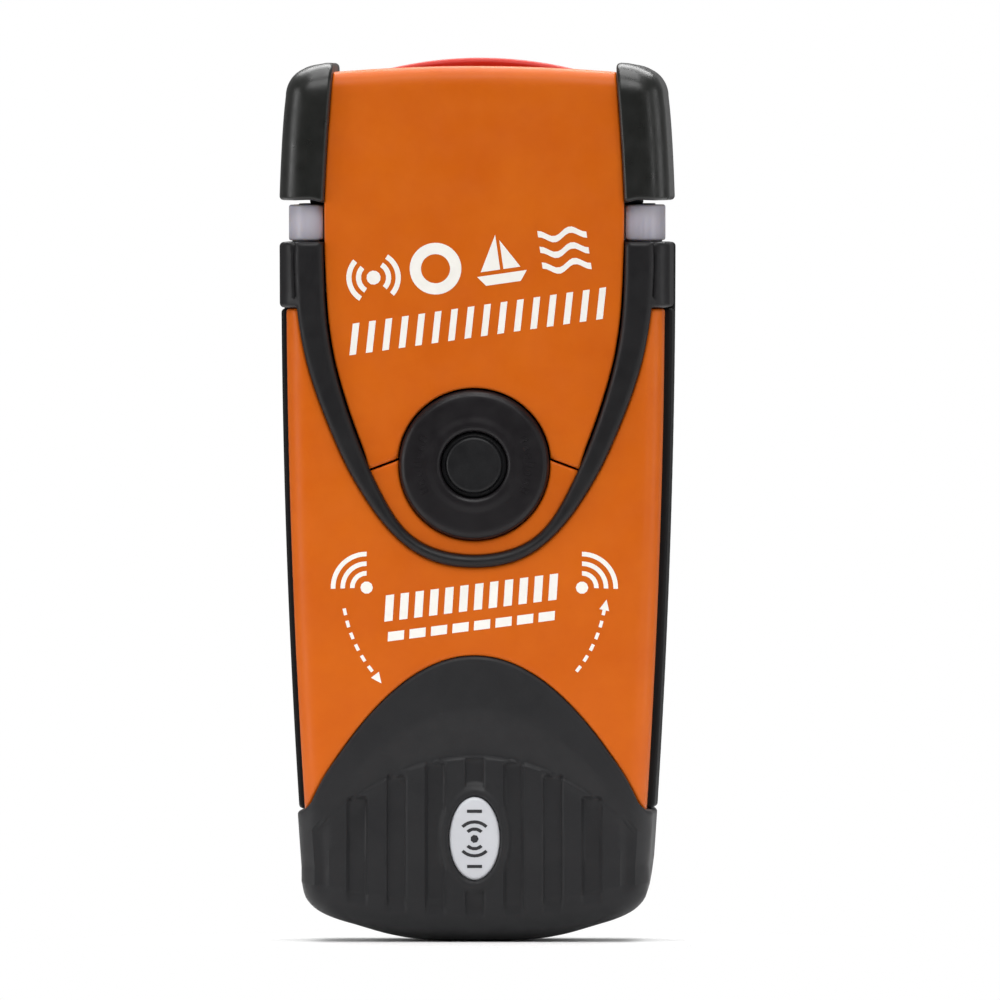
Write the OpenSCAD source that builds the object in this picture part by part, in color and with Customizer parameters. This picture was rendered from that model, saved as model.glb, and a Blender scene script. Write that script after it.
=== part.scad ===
// Pocket emergency position beacon: a tapered two-shell case with a rubber foot,
// a pull-off antenna cap over the arming key, a round self-test button and a
// two-section retractable blade antenna drawn out by a tab at the back.
// X is width, Y is depth (front faces -Y), Z is height. Millimetres.

/* [Case] */
// Full width across the shoulders
case_w = 47; // [46.5:0.25:48]
// Height of the shoulder line, where the case ends and the neck starts
shoulder_z = 83.9; // [83.9:0.1:84]
// How quickly the sides draw in below the shoulders (mm per mm squared)
taper = 0.00047; // [0.00040:0.00001:0.00050]
// How far the front face bulges at its middle
crown = 0.7; // [0.4:0.1:0.8]
// Distance of the flat back from the middle plane
back_y = 17; // [17:0.1:17.2]
// Plane where the front and rear shells meet
split_y = -4; // [-4.2:0.1:-3.8]

/* [Foot] */
// Height of the top of the rubber foot at the front centre line
foot_peak = 34.3; // [33:0.1:35]
// Curvature of the foot's front edge (drop per mm squared of x)
foot_curve = 0.0447; // [0.044:0.0001:0.046]
// Pitch of the upright grip slots
groove_pitch = 4.75; // [4.6:0.05:4.8]
// Width of one grip slot
groove_w = 2.35; // [2.2:0.05:2.4]
// Number of grip slots each side of the middle one
groove_n = 3; // [2:1:3]
// Half height of the oval badge
badge_h = 5.0; // [4.5:0.1:5.2]
// Half width of the oval badge
badge_w = 3.05; // [2.8:0.05:3.1]

/* [Test button] */
// Height of the button centre
button_z = 57.2; // [57:0.1:57.4]
// Outer radius of the round bezel
bezel_r = 9.0; // [8.8:0.1:9.0]
// Radius of the bezel's guide bore
bore_r = 4.0; // [3.9:0.05:4.1]
// Radius of the button's exposed top
button_r = 3.35; // [3.2:0.05:3.4]

/* [Antenna cap] */
// Lowest level of the cap's side grips
cap_z = 88.9; // [88.9:0.1:89.1]
// How far the side grips stand proud of the cap plate
grip_proud = 0.7; // [0.6:0.05:0.7]
// Wall thickness of the cap plate
plate_t = 1.6; // [1.4:0.1:1.6]

/* [Antenna] */
// Length of each blade section
blade_l = 77; // [74:0.5:77]
// Half width of the outer blade section
blade_w = 4.4; // [4.2:0.1:4.4]
// Half width of the pull tab
tab_w = 12.7; // [12:0.1:12.8]
// Height of the top of the pull tab
tab_top = 106; // [105.5:0.1:106.2]

/* [Battery] */
// Cell radius
cell_r = 8.4; // [8.2:0.05:8.4]
// Cell length without its button contact
cell_l = 34; // [33:0.1:34]

/* [Lanyard eye] */
// Radius of the lanyard hole
eye_r = 1.5; // [1.3:0.1:1.5]
// Width of the lug across the hole
eye_w = 5; // [4:0.1:5]

/* [Hidden] */
$fn = 48;

orange = [0.82, 0.40, 0.13];
black = [0.17, 0.17, 0.18];
pale = [0.72, 0.71, 0.75];
red = [0.76, 0.13, 0.09];
steel = [0.75, 0.76, 0.78];
brass = [0.78, 0.62, 0.30];
board_green = [0.06, 0.30, 0.16];

eps = 0.05; // clearance between touching parts
slice = 0.01; // thickness of a hulled level
far = 30; // beyond the case in X and Y
all = both(far);
front_y = [-far, -8]; // depth range of the front face parts
sides = [-1, 1];

// ---- Basic shapes: x, y and z ranges are [from, to] ----
function both(half) = [-half, half];
module box(x, y, z) {
  translate([x[0], y[0], z[0]]) cube([x[1] - x[0], y[1] - y[0], z[1] - z[0]]);
}
// Draws a front-view outline as a prism along Y.
module prism(y) {
  translate([0, y[1], 0]) rotate([90, 0, 0]) linear_extrude(y[1] - y[0]) children();
}
module rod(x, z, r, y) {
  translate([x, y[1], z]) rotate([90, 0, 0]) cylinder(r = r, h = y[1] - y[0]);
}
// Quarter circle, anticlockwise from the start angle.
function quarter(x, y, r, start, steps) =
  [for (i = [0:steps]) let (a = start + 90 * i / steps) [x + r * cos(a), y + r * sin(a)]];
module rounded(half, y, r) {
  polygon(concat(
    quarter(half - r, y[0] + r, r, -90, 5), quarter(half - r, y[1] - r, r, 0, 5),
    quarter(r - half, y[1] - r, r, 90, 5), quarter(r - half, y[0] + r, r, 180, 5)));
}

// ---- Case form ----
form_top = 84; // height the outline tables run to
heel_z = 9; // top of the rounded base
function side_w(z) = case_w / 2 - taper * pow(form_top - z, 2);

levels = [0, 1.5, 3.2, 4.6, 6.4, heel_z, 13, 30, 57, form_top];
// [height, half width] of the rounded base
base_half = [[0, 3], [1.5, 11.9], [3.2, 17.3], [4.6, 19.3], [6.4, 20.35],
  [heel_z, side_w(heel_z)]];
// [height, depth in front of the middle plane]
front_depth = [[0, 7], [1.5, 10.2], [3.2, 12.0], [4.6, 12.9], [6.4, 13.5], [9, 14.0],
  [13, 14.3], [30, 15.2], [57, 16.3], [84, 16.7]];
// [height, depth behind the middle plane]
back_depth = [[0, 5], [1.5, 9.4], [3.2, 11.7], [4.6, 13.3], [6.4, 14.8], [9, 16.0],
  [13, back_y], [84, back_y]];
function half_w(z) = z < heel_z ? lookup(z, base_half) : side_w(z);

// One level: a rounded rectangle with a bulged front.
function ring(half, front, back, front_r, back_r) = concat(
  [for (i = [-2:2]) [i / 2.5 * (half - front_r), -front + crown * pow(i / 2.5, 2)]],
  quarter(half - front_r, -front + crown + front_r, front_r, -90, 3),
  quarter(half - back_r, back - back_r, back_r, 0, 3),
  quarter(-(half - back_r), back - back_r, back_r, 90, 3),
  quarter(-(half - front_r), -front + crown + front_r, front_r, 180, 3));
function case_ring(z, side, face) =
  let (
    half = half_w(z) - side,
    back = lookup(z, back_depth) - face,
    front_r = min(3.2 - side * 0.5, half * 0.45),
    back_r = min(4.5 - side * 0.5, half * 0.45, back * 0.7))
  ring(half, lookup(z, front_depth) - face, back, front_r, back_r);

// Solid case inset by side in X and face in Y, its floor raised by lift,
// using only the levels at or above from.
module case_form(side, face, lift, top, from = 0) {
  hull() for (z = levels) if (z >= from)
    translate([0, 0, lift + z * (top - slice - lift) / form_top])
      linear_extrude(slice) polygon(case_ring(z, side, face));
}
module skin_form(top = shoulder_z, from = heel_z) { case_form(0.9, 0.4, 0.4, top, from); }
module core_form(grow = 0) { case_form(2.1 - grow, 1.9 - grow, 1.9 - grow, shoulder_z); }
module cavity_form() { case_form(3.5, 3.3, 3.3, 82); }
module seat_form() { case_form(2.05, 2.35, 2.05, shoulder_z, heel_z); }

// ---- Front-view outlines ----
// Smooth curve through control points.
curve_steps = 4;
function curve_at(points, i, t) =
  let (
    before = points[max(i - 1, 0)],
    start = points[i],
    end = points[i + 1],
    after = points[min(i + 2, len(points) - 1)])
  0.5 * (2 * start + (end - before) * t
    + (2 * before - 5 * start + 4 * end - after) * t * t
    + (3 * start - before - 3 * end + after) * t * t * t);
function smooth(points) = concat(
  [for (i = [0:len(points) - 2], k = [0:curve_steps - 1]) curve_at(points, i, k / curve_steps)],
  [points[len(points) - 1]]);

// Right half of the frame's edges, [x, z] from the shoulder down to the centre line.
frame_in = [[17.85, 84], [17.8, 78], [17.0, 70.7], [15.2, 63.6],
  [12.5, 56.5], [10.0, 51.6], [6.3, 48.1], [0, 46.9]];
frame_out = [[21.7, 84], [21.45, 77], [20.4, 70.7], [18.3, 63.6],
  [15.0, 56.4], [11.95, 51.6], [7.5, 46.85], [0, 44.8]];
shoulder_x = frame_in[0][0];

// Area inside a frame edge, grown sideways, and down by half as much except at the centre.
module frame_area(edge, grow, top) {
  half = [for (p = smooth(edge))
    [max(p[0] + grow, 0), p[1] - (p[0] < 1 ? grow : grow * 0.5)]];
  polygon(concat([[half[0][0], top]], half,
    [for (i = [len(half) - 2:-1:0]) [-half[i][0], half[i][1]]], [[-half[0][0], top]]));
}

// Blocks at the sides of the shoulders, where the frame wraps round.
module shoulder_zone(grow) {
  for (side = sides)
    box(side > 0 ? [shoulder_x - grow, 26] : [-26, grow - shoulder_x],
      [-20, 8 + grow], [76 - grow, 84.2]);
}

// Area from the foot's curved edge, raised by gap, to the level end_z.
module foot_area(peak, curve, gap, end_z) {
  edge = [for (i = [-16:16]) let (x = i * 1.6) [x, peak - curve * x * x + gap]];
  polygon(concat(edge, [[25.6, end_z], [-25.6, end_z]]));
}
above = 120;
below = -40;
foot_rear_peak = 20;
foot_meet = 454; // x squared where the front and rear edges are level
foot_rear_curve = foot_curve - (foot_peak - foot_rear_peak) / foot_meet;

// Area from the chevron joint between button surround and cap plate to the level end_z.
chevron_gap = 0.15; // each side of the joint
module chevron_area(gap, end_z) {
  polygon(concat(
    [for (p = [[-25, 52.1], [-8.8, 57.95], [0, 61.1], [8.8, 57.95], [25, 52.1]])
      [p[0], p[1] + gap]],
    [[25, end_z], [-25, end_z]]));
}

// Cap plate edge against the grips: [height, half width]
cap_edge = [[cap_z - 1, 17.8], [90, 17.72], [95, 17.45], [100, 17.1], [106, 16.6]];
module cap_edge_area(grow, z0, z1) {
  heights = [for (i = [0:8]) z0 + (z1 - z0) * i / 8];
  polygon(concat(
    [for (z = heights) [lookup(z, cap_edge) + grow, z]],
    [for (i = [8:-1:0]) [-lookup(heights[i], cap_edge) - grow, heights[i]]]));
}

// ---- Shells ----
shell_gap = 0.35; // from the split plane to each shell
gasket_half = 0.3; // half the gasket's thickness
front_joint = split_y - shell_gap;
rear_joint = split_y + shell_gap;
inner_back = 14.4; // where the upper bosses and board posts end
boss_r = 2.5;
// Case screws: [x, z, head seat y, front boss end y, rear boss end y]
screws = [
  [18.0, 79.0, 14.2, -11.6, inner_back],
  [17.2, 50.2, 14.2, -12.6, inner_back],
  [11.2, 7.2, 7.6, -10.4, 8.6]];

// Main board and its posts
board_front = -3.0;
board_back = -1.4;
parts_front = board_front - eps;
parts_back = board_back + eps;
post_x = 11.5;
post_z = [52, 78.5];

// Lanyard lug
eye_y = 14.4;
eye_z = 2.65;
lug_r = 2.6;

// Antenna guide, blades and tab
guide_w = 6.4;
guide_y = [9.4, 13.2];
tab_z = 95.1;

// Rear label recess
label_w = 14.2;
label_z = [30, 78];
label_gap = 0.1;
label_seat_y = 16.6;

// The lowest boss is trimmed to the case core.
module low_boss(side, y) {
  intersection() {
    rod(side * screws[2][0], screws[2][1], boss_r, y);
    core_form();
  }
}

module front_shell() {
  color(orange) difference() {
    union() {
      difference() {
        union() {
          intersection() {
            skin_form();
            box(all, [-far, front_joint], [-1, 90]);
            prism([-far, 0]) foot_area(foot_peak, foot_curve, eps, above);
          }
          intersection() {
            core_form();
            box(all, [-far, front_joint], [-1, 60]);
          }
        }
        cavity_form();
        box(both(16), [-11, 0], [81, 90]);
        prism(front_y) frame_area(frame_in, 0.02, 90);
        difference() {
          union() {
            prism(front_y) frame_area(frame_out, eps, 90);
            shoulder_zone(eps);
          }
          seat_form();
        }
      }
      for (side = sides) {
        for (i = [0:1]) let (s = screws[i]) rod(side * s[0], s[1], boss_r, [s[3], front_joint]);
        low_boss(side, [screws[2][3], front_joint]);
      }
    }
    for (side = sides, s = screws) rod(side * s[0], s[1], 1.25, [-9.6, 0]);
  }
}

module rear_shell() {
  color(black) difference() {
    union() {
      difference() {
        union() {
          intersection() {
            case_form(0, 0, 0, shoulder_z, heel_z);
            box(all, [rear_joint, far], [0, 90]);
            prism(all) foot_area(foot_rear_peak, foot_rear_curve, eps, above);
          }
          intersection() {
            core_form();
            box(all, [rear_joint, far], [-1, 40]);
          }
          // Upright back of the head
          prism([7.6, back_y]) cap_edge_area(-0.4, 83, 103.4);
        }
        cavity_form();
        box(both(16), [-5, 6], [81, 90]);
        difference() {
          shoulder_zone(eps);
          seat_form();
        }
      }
      for (side = sides) {
        for (i = [0:1]) let (s = screws[i]) rod(side * s[0], s[1], boss_r, [rear_joint, s[4]]);
        low_boss(side, [rear_joint, screws[2][4]]);
        for (z = post_z) rod(side * post_x, z, 2.0, [parts_back, inner_back]);
      }
      translate([-eye_w / 2, eye_y, eye_z]) rotate([0, 90, 0]) cylinder(r = lug_r, h = eye_w);
      box(both(eye_w / 2), [10.2, eye_y], [2.6, 6.5]);
    }
    for (side = sides) {
      for (s = screws) {
        rod(side * s[0], s[1], 1.35, [-10, 20]);
        rod(side * s[0], s[1], 2.5, [s[2], 20]);
      }
      for (z = post_z) rod(side * post_x, z, 0.9, [-5, 8]);
    }
    translate([-10, eye_y, eye_z]) rotate([0, 90, 0]) cylinder(r = eye_r, h = 20);
    // Room for the antenna guide, its tab and the label
    box(both(guide_w + eps), [guide_y[0] - eps, guide_y[1] + eps], [80, 110]);
    box(both(13), [9.8, 20], [95, 110]);
    box(both(label_w), [label_seat_y, 20], label_z);
  }
}

module shell_gasket() {
  color([0.09, 0.09, 0.1]) intersection() {
    difference() {
      case_form(2.2, 2.6, 2.2, 81.9);
      case_form(3.4, 4, 3.4, 80.7);
    }
    box(all, [split_y - gasket_half, split_y + gasket_half], [0, 90]);
  }
}

module shell_screws() {
  color(steel) for (side = sides, s = screws) difference() {
    union() {
      rod(side * s[0], s[1], 2.2, [s[2], s[2] + 1.8]);
      rod(side * s[0], s[1], 1.2, [-9.4, s[2] + 0.1]);
    }
    translate([side * s[0], s[2] + 1.9, s[1]]) rotate([90, 0, 0])
      cylinder(r = 1.2, h = 1.2, $fn = 6);
  }
}

module bumper_frame() {
  color(black) intersection() {
    difference() {
      case_form(0, -0.4, 0, shoulder_z, heel_z);
      case_form(2.0, 2.3, 2.0, shoulder_z + 0.1, heel_z);
    }
    union() {
      prism([-far, -7]) difference() {
        frame_area(frame_out, 0, 84);
        frame_area(frame_in, 0.05, 84.5);
      }
      difference() {
        shoulder_zone(0);
        box(both(shoulder_x + eps), all, [0, 100]);
      }
    }
  }
}

// ---- Foot ----
badge_z = 12.4;
badge_back = -13.4;

module badge_area(grow) {
  polygon([for (a = [0:10:350])
    [(badge_w + grow) * cos(a), badge_z + (badge_h + grow) * sin(a)]]);
}
module foot_part(y, peak, curve) {
  intersection() {
    prism(y) foot_area(peak, curve, 0, below);
    box(all, y, [-1, 60]);
  }
}
// Leaning slots whose floors follow the bulged front and whose tops drop outward.
module grip_slots() {
  for (i = [-groove_n:groove_n]) let (x = i * groove_pitch)
    translate([x - groove_w / 2, 0.7 * pow(x / 17.7, 2) - 13.4, 9]) rotate([3.4, 0, 0])
      translate([0, -3, -5.4]) cube([groove_w, 3, 18.6 - 0.0233 * x * x]);
}

module lower_boot() {
  color(black) difference() {
    intersection() {
      case_form(0, 0, 0, shoulder_z);
      union() {
        foot_part([-far, split_y], foot_peak, foot_curve);
        foot_part([split_y, far], foot_rear_peak, foot_rear_curve);
      }
    }
    core_form(eps);
    box(both(eye_w / 2 + 0.1), [10, 20], [-1, 6.7]);
    prism([-far, badge_back + eps]) badge_area(eps);
    difference() {
      grip_slots();
      prism(front_y) badge_area(1.2);
    }
  }
}

module boot_badge() { color([0.83, 0.84, 0.85]) prism([-14.2, badge_back]) badge_area(0); }

// ---- Key and button ----
key_z = 76;
key_hole_w = 6.5; // half width
key_hole_h = 4.5; // half height
key_gap = 0.08;
light_x = 10.5;
light_r = 1.0;
bezel_stem_r = 5.4;
plunger_r = 1.6;
plunger_y = -9.4; // inner ends of the key and button plungers

// Turns a profile about the button's axis, [radius, distance forward of y].
module button_turn(y) {
  translate([0, y, button_z]) rotate([90, 0, 0]) rotate_extrude() children();
}

module key_panel() {
  color(black) difference() {
    intersection() {
      difference() {
        case_form(2, 2.6, 0, shoulder_z, heel_z);
        case_form(3, 4.1, 0, shoulder_z + 0.1, heel_z);
      }
      prism(front_y) frame_area(frame_in, -0.05, 83.9);
    }
    rod(0, button_z, bezel_stem_r + 0.1, [-far, 0]);
    box(both(key_hole_w), [-far, 0], [key_z - key_hole_h, key_z + key_hole_h]);
    rod(light_x, key_z, light_r + eps, [-far, 0]);
  }
}

module button_surround() {
  color(orange) intersection() {
    difference() {
      skin_form();
      case_form(2, 2.25, 0, shoulder_z + 0.1, heel_z);
    }
    prism(front_y) difference() {
      intersection() {
        frame_area(frame_in, -0.02, 84);
        chevron_area(-chevron_gap, 0);
      }
      translate([0, button_z]) circle(r = bezel_r + 0.05);
    }
  }
}

module button_bezel() {
  color(black) button_turn(-11)
    polygon([[bore_r, 0], [bezel_stem_r, 0], [bezel_stem_r, 2.95], [bezel_r, 2.95],
      [bezel_r, 5.2], [bezel_r - 0.3, 5.65], [bezel_r - 1.0, 5.95], [5.6, 6.0],
      [5.2, 6.15], [bore_r + 0.3, 6.15], [bore_r, 5.9]]);
}

module test_button() {
  body_r = bore_r - 0.06;
  color(black) union() {
    button_turn(-13)
      polygon([[0, 0], [body_r, 0], [body_r, 2.0], [button_r, 2.4],
        [button_r, 3.8], [button_r - 0.35, 4.1], [0, 4.2]]);
    rod(0, button_z, plunger_r, [plunger_y - 3.7, plunger_y]);
  }
}

module button_seal() {
  color([0.1, 0.1, 0.1]) button_turn(-12.3) translate([2.25, 0]) circle(r = 0.55, $fn = 24);
}

module on_key() {
  half_h = key_hole_h - key_gap;
  color(red) union() {
    box(both(key_hole_w - key_gap), [-14.0, -11.4], [key_z - half_h, key_z + half_h]);
    rod(0, key_z, plunger_r, [-11.5, plunger_y]);
  }
}

module status_light_pipe() {
  color([0.8, 0.95, 0.85]) rod(light_x, key_z, light_r, [-13.85, -4.5]);
}
module status_led() {
  color([0.9, 0.9, 0.85]) box([9.6, 11.2], [-4.3, parts_front], [75.0, 76.6]);
}

// ---- Head ----
neck_z = shoulder_z + 0.1;
neck_h = 4.4;
head_w = 19.8; // half width
head_y = [-13.3, 7.3];
head_wall = 1.4;
head_board_z = [93, 94];
strobe_x = 10.5;
strobe_y = -3;
strobe_r = 4.5;
led_half = 1.7;

module neck_ring() {
  color(pale) difference() {
    translate([0, 0, neck_z]) linear_extrude(neck_h) difference() {
      rounded(22.3, [-15, 14.6], 3.0);
      translate([-18.15, -20]) square([36.3, 6.6]);
      rounded(17.9, [-12.1, 7.2], 2);
      translate([-17.5, 7.1]) square([35, 20]);
    }
  }
}

module head_core() {
  color([0.15, 0.15, 0.16]) difference() {
    translate([0, 0, neck_z + neck_h + eps]) linear_extrude(12.15) rounded(head_w, head_y, 2.4);
    translate([0, 0, 88]) linear_extrude(11.1)
      rounded(head_w - head_wall, [head_y[0] + head_wall, head_y[1] - head_wall], 1.2);
    translate([strobe_x, strobe_y, 90]) cylinder(r = strobe_r + eps, h = 20);
  }
}

module strobe_lens() {
  color([0.92, 0.95, 0.97]) translate([strobe_x, strobe_y, 0]) rotate_extrude()
    polygon([[0, 96.6], [2, 96.6], [2.4, 98.6], [strobe_r, 99.2], [strobe_r, 100.8],
      [4.0, 101.5], [2.5, 101.95], [0, 102.1]]);
}

module strobe_led() {
  color([0.95, 0.93, 0.75]) box([strobe_x - led_half, strobe_x + led_half],
    [strobe_y - led_half, strobe_y + led_half], [head_board_z[1] + eps, 96.2]);
}
module head_board() { color(board_green) box(both(18), [-11.5, 5.5], head_board_z); }
module head_flex() {
  color([0.75, 0.45, 0.15]) box(both(5), [-3.3, parts_front], [79.1, head_board_z[0] - eps]);
}
module gnss_antenna() {
  color([0.85, 0.82, 0.74]) union() {
    box([-17, -1], [-11.3, 4.7], [head_board_z[1] + eps, 97.6]);
    box([-16, -2], [-10.3, 3.7], [97.5, 97.8]);
  }
}

// ---- Antenna cap ----
// Outside of the cap: [height, half width, front depth, back depth]
cap_levels = [[cap_z, 23.6, 17, 16.6], [95, 23.4, 17, 16.6], [101, 22.9, 16.9, 16.5],
  [102.8, 22.4, 16.4, 16.0], [104.1, 21.4, 15.3, 14.9], [104.9, 19.4, 13.2, 12.8]];

// Cap inset on all sides; the top sinks in proportion above z = 100.
module cap_form(inset) {
  corner_r = max(0.8, 3.4 - inset);
  hull() for (l = cap_levels)
    translate([0, 0, l[0] - (l[0] > 100 ? inset * (l[0] - 100) / 4.9 : 0)])
      linear_extrude(slice)
        polygon(ring(l[1] - inset, l[2] - inset, l[3] - inset, corner_r, corner_r));
}

module cap_plate() {
  tongue_top = 89.2;
  color(orange) union() {
    // Tongue down the front, over the key
    intersection() {
      difference() {
        skin_form(89.6, 30);
        case_form(2, 0.4 + plate_t, 0, 89.7, 30);
      }
      prism(front_y) difference() {
        intersection() {
          frame_area(frame_in, -0.3, tongue_top);
          chevron_area(chevron_gap, tongue_top);
        }
        translate([0, button_z]) circle(r = bezel_r + 0.2);
      }
    }
    intersection() {
      difference() {
        cap_form(grip_proud);
        cap_form(grip_proud + plate_t);
      }
      prism([-far, 7.4]) cap_edge_area(-0.03, cap_z, 106);
    }
  }
}

module cap_grip(side) {
  color(black) intersection() {
    difference() {
      cap_form(0);
      cap_form(grip_proud + plate_t - 0.3);
      prism(all) cap_edge_area(0, cap_z - 1, 107);
    }
    box(side > 0 ? [0, far] : [-far, 0], all, [80, 110]);
  }
}

// ---- Antenna ----
blade_top = 94.3;
blade_z = blade_top - blade_l;
blade_y = [10.2, 12.45];
blade_wall = 0.35;
upper_w = blade_w - 0.45;
upper_y = [10.7, 11.95];
upper_top = 101;

module antenna_guide() {
  color([0.25, 0.25, 0.27]) difference() {
    box(both(guide_w), guide_y, [15.5, 94.5]);
    box(both(4.6), [10.05, 12.6], [16.6, 100]);
  }
}

module antenna_lower_blade() {
  color(steel) difference() {
    box(both(blade_w), blade_y, [blade_z, blade_top]);
    box(both(blade_w - blade_wall), [blade_y[0] + blade_wall, blade_y[1] - blade_wall],
      [blade_z + 0.6, 95]);
  }
}

module antenna_upper_blade() { color(steel) box(both(upper_w), upper_y, [blade_z + 1, upper_top]); }

module antenna_tab() {
  arch = [for (i = [-12:12]) let (x = i / 12 * tab_w)
    [x, tab_top - 0.000168 * pow(abs(x), 3.68)]];
  color(red) difference() {
    prism([10, 16.9]) polygon(concat(arch, [[tab_w, tab_z], [-tab_w, tab_z]]));
    box(both(upper_w + eps), [upper_y[0] - eps, upper_y[1] + eps], [90, upper_top + eps]);
    for (z = [97.5:2:101.5]) box(both(9), [16.4, 20], [z, z + 1]);
  }
}

module antenna_feed() {
  color(brass) union() {
    box(both(2), [8.9, guide_y[0] - eps], [64, 80]);
    box(both(1), [parts_back, 9.0], [76.5, 77.2]);
  }
}

module rear_label() {
  color([0.86, 0.87, 0.86]) box(both(label_w - label_gap),
    [label_seat_y + eps, 16.95], [label_z[0] + label_gap, label_z[1] - label_gap]);
}

// ---- Main board ----
module main_board() {
  color(board_green) difference() {
    box(both(13.8), [board_front, board_back], [48.6, 81.4]);
    for (side = sides, z = post_z) rod(side * post_x, z, 1.1, [-5, 0]);
  }
}

module board_screws() {
  color(steel) for (side = sides, z = post_z) union() {
    rod(side * post_x, z, 1.8, [-4.3, parts_front]);
    rod(side * post_x, z, 0.85, [-3.2, 6]);
  }
}

module rf_shield() { color(steel) box(both(8), [parts_back, 1.7], [54, 73.5]); }
module tact_switch(z) {
  color([0.2, 0.2, 0.2]) union() {
    box(both(3), [-6.4, parts_front], [z - 3, z + 3]);
    rod(0, z, 1.5, [-8.3, -6.3]);
  }
}
module test_switch() { tact_switch(button_z); }
module on_switch() { tact_switch(key_z); }

// ---- Battery ----
cell_x = 8.6;
cell_y = -1;
cell_z = 12.6;
lead_x = 7;
lead_r = 0.6;

module at_cell(side, z) { translate([side * cell_x, cell_y, z]) children(); }

module battery_cell(side) {
  color([0.15, 0.35, 0.62]) union() {
    at_cell(side, cell_z) cylinder(r = cell_r, h = cell_l);
    at_cell(side, cell_z + cell_l - 0.1) cylinder(r = 3, h = 0.6);
  }
}
module battery_top_strap() { color(steel) box(both(11.5), [-3, 1], [47.15, 47.45]); }
module battery_leads() {
  color([0.7, 0.1, 0.1]) for (side = sides) union() {
    translate([side * lead_x, 0.2, 47.5]) cylinder(r = lead_r, h = 4);
    rod(side * lead_x, 51.0, lead_r, [parts_back, 0.3]);
  }
}
module battery_base_contact() {
  color(steel) union() {
    box(both(12), [-4, 2], [9.8, 10.2]);
    for (side = sides) at_cell(side, 10.1) cylinder(r1 = 4, r2 = 2.5, h = 2.4);
  }
}
module battery_tray() {
  color([0.3, 0.3, 0.32]) difference() {
    box(both(16.6), [4.5, 9.2], [10.3, 46.4]);
    for (side = sides) at_cell(side, 0) cylinder(r = cell_r + 0.15, h = 60);
  }
}

front_shell();
rear_shell();
shell_gasket();
shell_screws();
bumper_frame();
lower_boot();
boot_badge();
key_panel();
button_surround();
button_bezel();
test_button();
button_seal();
on_key();
status_light_pipe();
neck_ring();
head_core();
strobe_lens();
strobe_led();
cap_plate();
cap_grip(-1);  // cap_grip_left
cap_grip(1);  // cap_grip_right
antenna_guide();
antenna_lower_blade();
antenna_upper_blade();
antenna_tab();
antenna_feed();
rear_label();
main_board();
board_screws();
rf_shield();
test_switch();
on_switch();
status_led();
head_board();
head_flex();
gnss_antenna();
battery_cell(-1);  // battery_cell_left
battery_cell(1);  // battery_cell_right
battery_leads();
battery_top_strap();
battery_base_contact();
battery_tray();
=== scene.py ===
from math import atan, atan2, cos, degrees, pi, radians, sin
from types import SimpleNamespace

import bmesh
import bpy
import numpy as np
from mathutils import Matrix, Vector
from mathutils.geometry import delaunay_2d_cdt


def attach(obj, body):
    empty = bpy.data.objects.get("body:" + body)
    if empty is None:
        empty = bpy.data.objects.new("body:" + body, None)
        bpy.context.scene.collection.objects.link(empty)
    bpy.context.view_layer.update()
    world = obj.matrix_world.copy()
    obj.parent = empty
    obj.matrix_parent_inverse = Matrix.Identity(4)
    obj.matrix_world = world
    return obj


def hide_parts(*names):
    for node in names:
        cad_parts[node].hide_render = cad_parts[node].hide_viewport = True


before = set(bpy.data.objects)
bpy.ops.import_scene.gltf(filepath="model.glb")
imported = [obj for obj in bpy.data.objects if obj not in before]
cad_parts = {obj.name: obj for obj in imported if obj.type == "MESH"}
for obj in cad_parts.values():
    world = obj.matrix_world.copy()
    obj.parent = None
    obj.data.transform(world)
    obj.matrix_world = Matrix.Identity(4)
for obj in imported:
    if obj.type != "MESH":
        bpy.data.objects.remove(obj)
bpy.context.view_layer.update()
MM = 0.001

FRONT, BACK, RIGHT, UP = (0, -1, 0), (0, 1, 0), (1, 0, 0), (0, 0, 1)

# Mesh density
CORNER_DEG = 25.0                           # sharper corners survive resampling
EDGE_RINGS = (0.1, 0.25, 0.45, 0.7, 1.0)    # point rows inside an edge, as parts of its radius
LINE_RINGS = (0.15, 0.35, 0.6)              # point rows beside an inner line
MERGE_CELL = 0.06                           # one inner point at most per cell this wide


# ---------------------------------------------------------------- curves

def pchip(table):
    """Monotone cubic curve through (station, value) rows, held level beyond the ends."""
    xs, ys = np.array(table, float).T
    gaps = np.diff(xs)
    grades = np.diff(ys) / gaps
    slopes = np.zeros_like(xs)
    slopes[0], slopes[-1] = grades[0], grades[-1]
    for k in range(1, len(xs) - 1):
        if grades[k - 1] * grades[k] > 0:
            before, after = 2 * gaps[k] + gaps[k - 1], gaps[k] + 2 * gaps[k - 1]
            slopes[k] = (before + after) / (before / grades[k - 1] + after / grades[k])

    def curve(x):
        x = np.clip(np.asarray(x, float), xs[0], xs[-1])
        i = np.clip(np.searchsorted(xs, x, side="right") - 1, 0, len(gaps) - 1)
        t = (x - xs[i]) / gaps[i]
        return ((2 * t**3 - 3 * t**2 + 1) * ys[i]
                + (t**3 - 2 * t**2 + t) * gaps[i] * slopes[i]
                + (-2 * t**3 + 3 * t**2) * ys[i + 1]
                + (t**3 - t**2) * gaps[i] * slopes[i + 1])
    return curve


def smooth01(t):
    t = np.clip(t, 0, 1)
    return t * t * (3 - 2 * t)


def path_length(points):
    """Length along a polyline at each of its points."""
    return np.r_[0, np.cumsum(np.linalg.norm(np.diff(points, axis=0), axis=1))]


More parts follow.
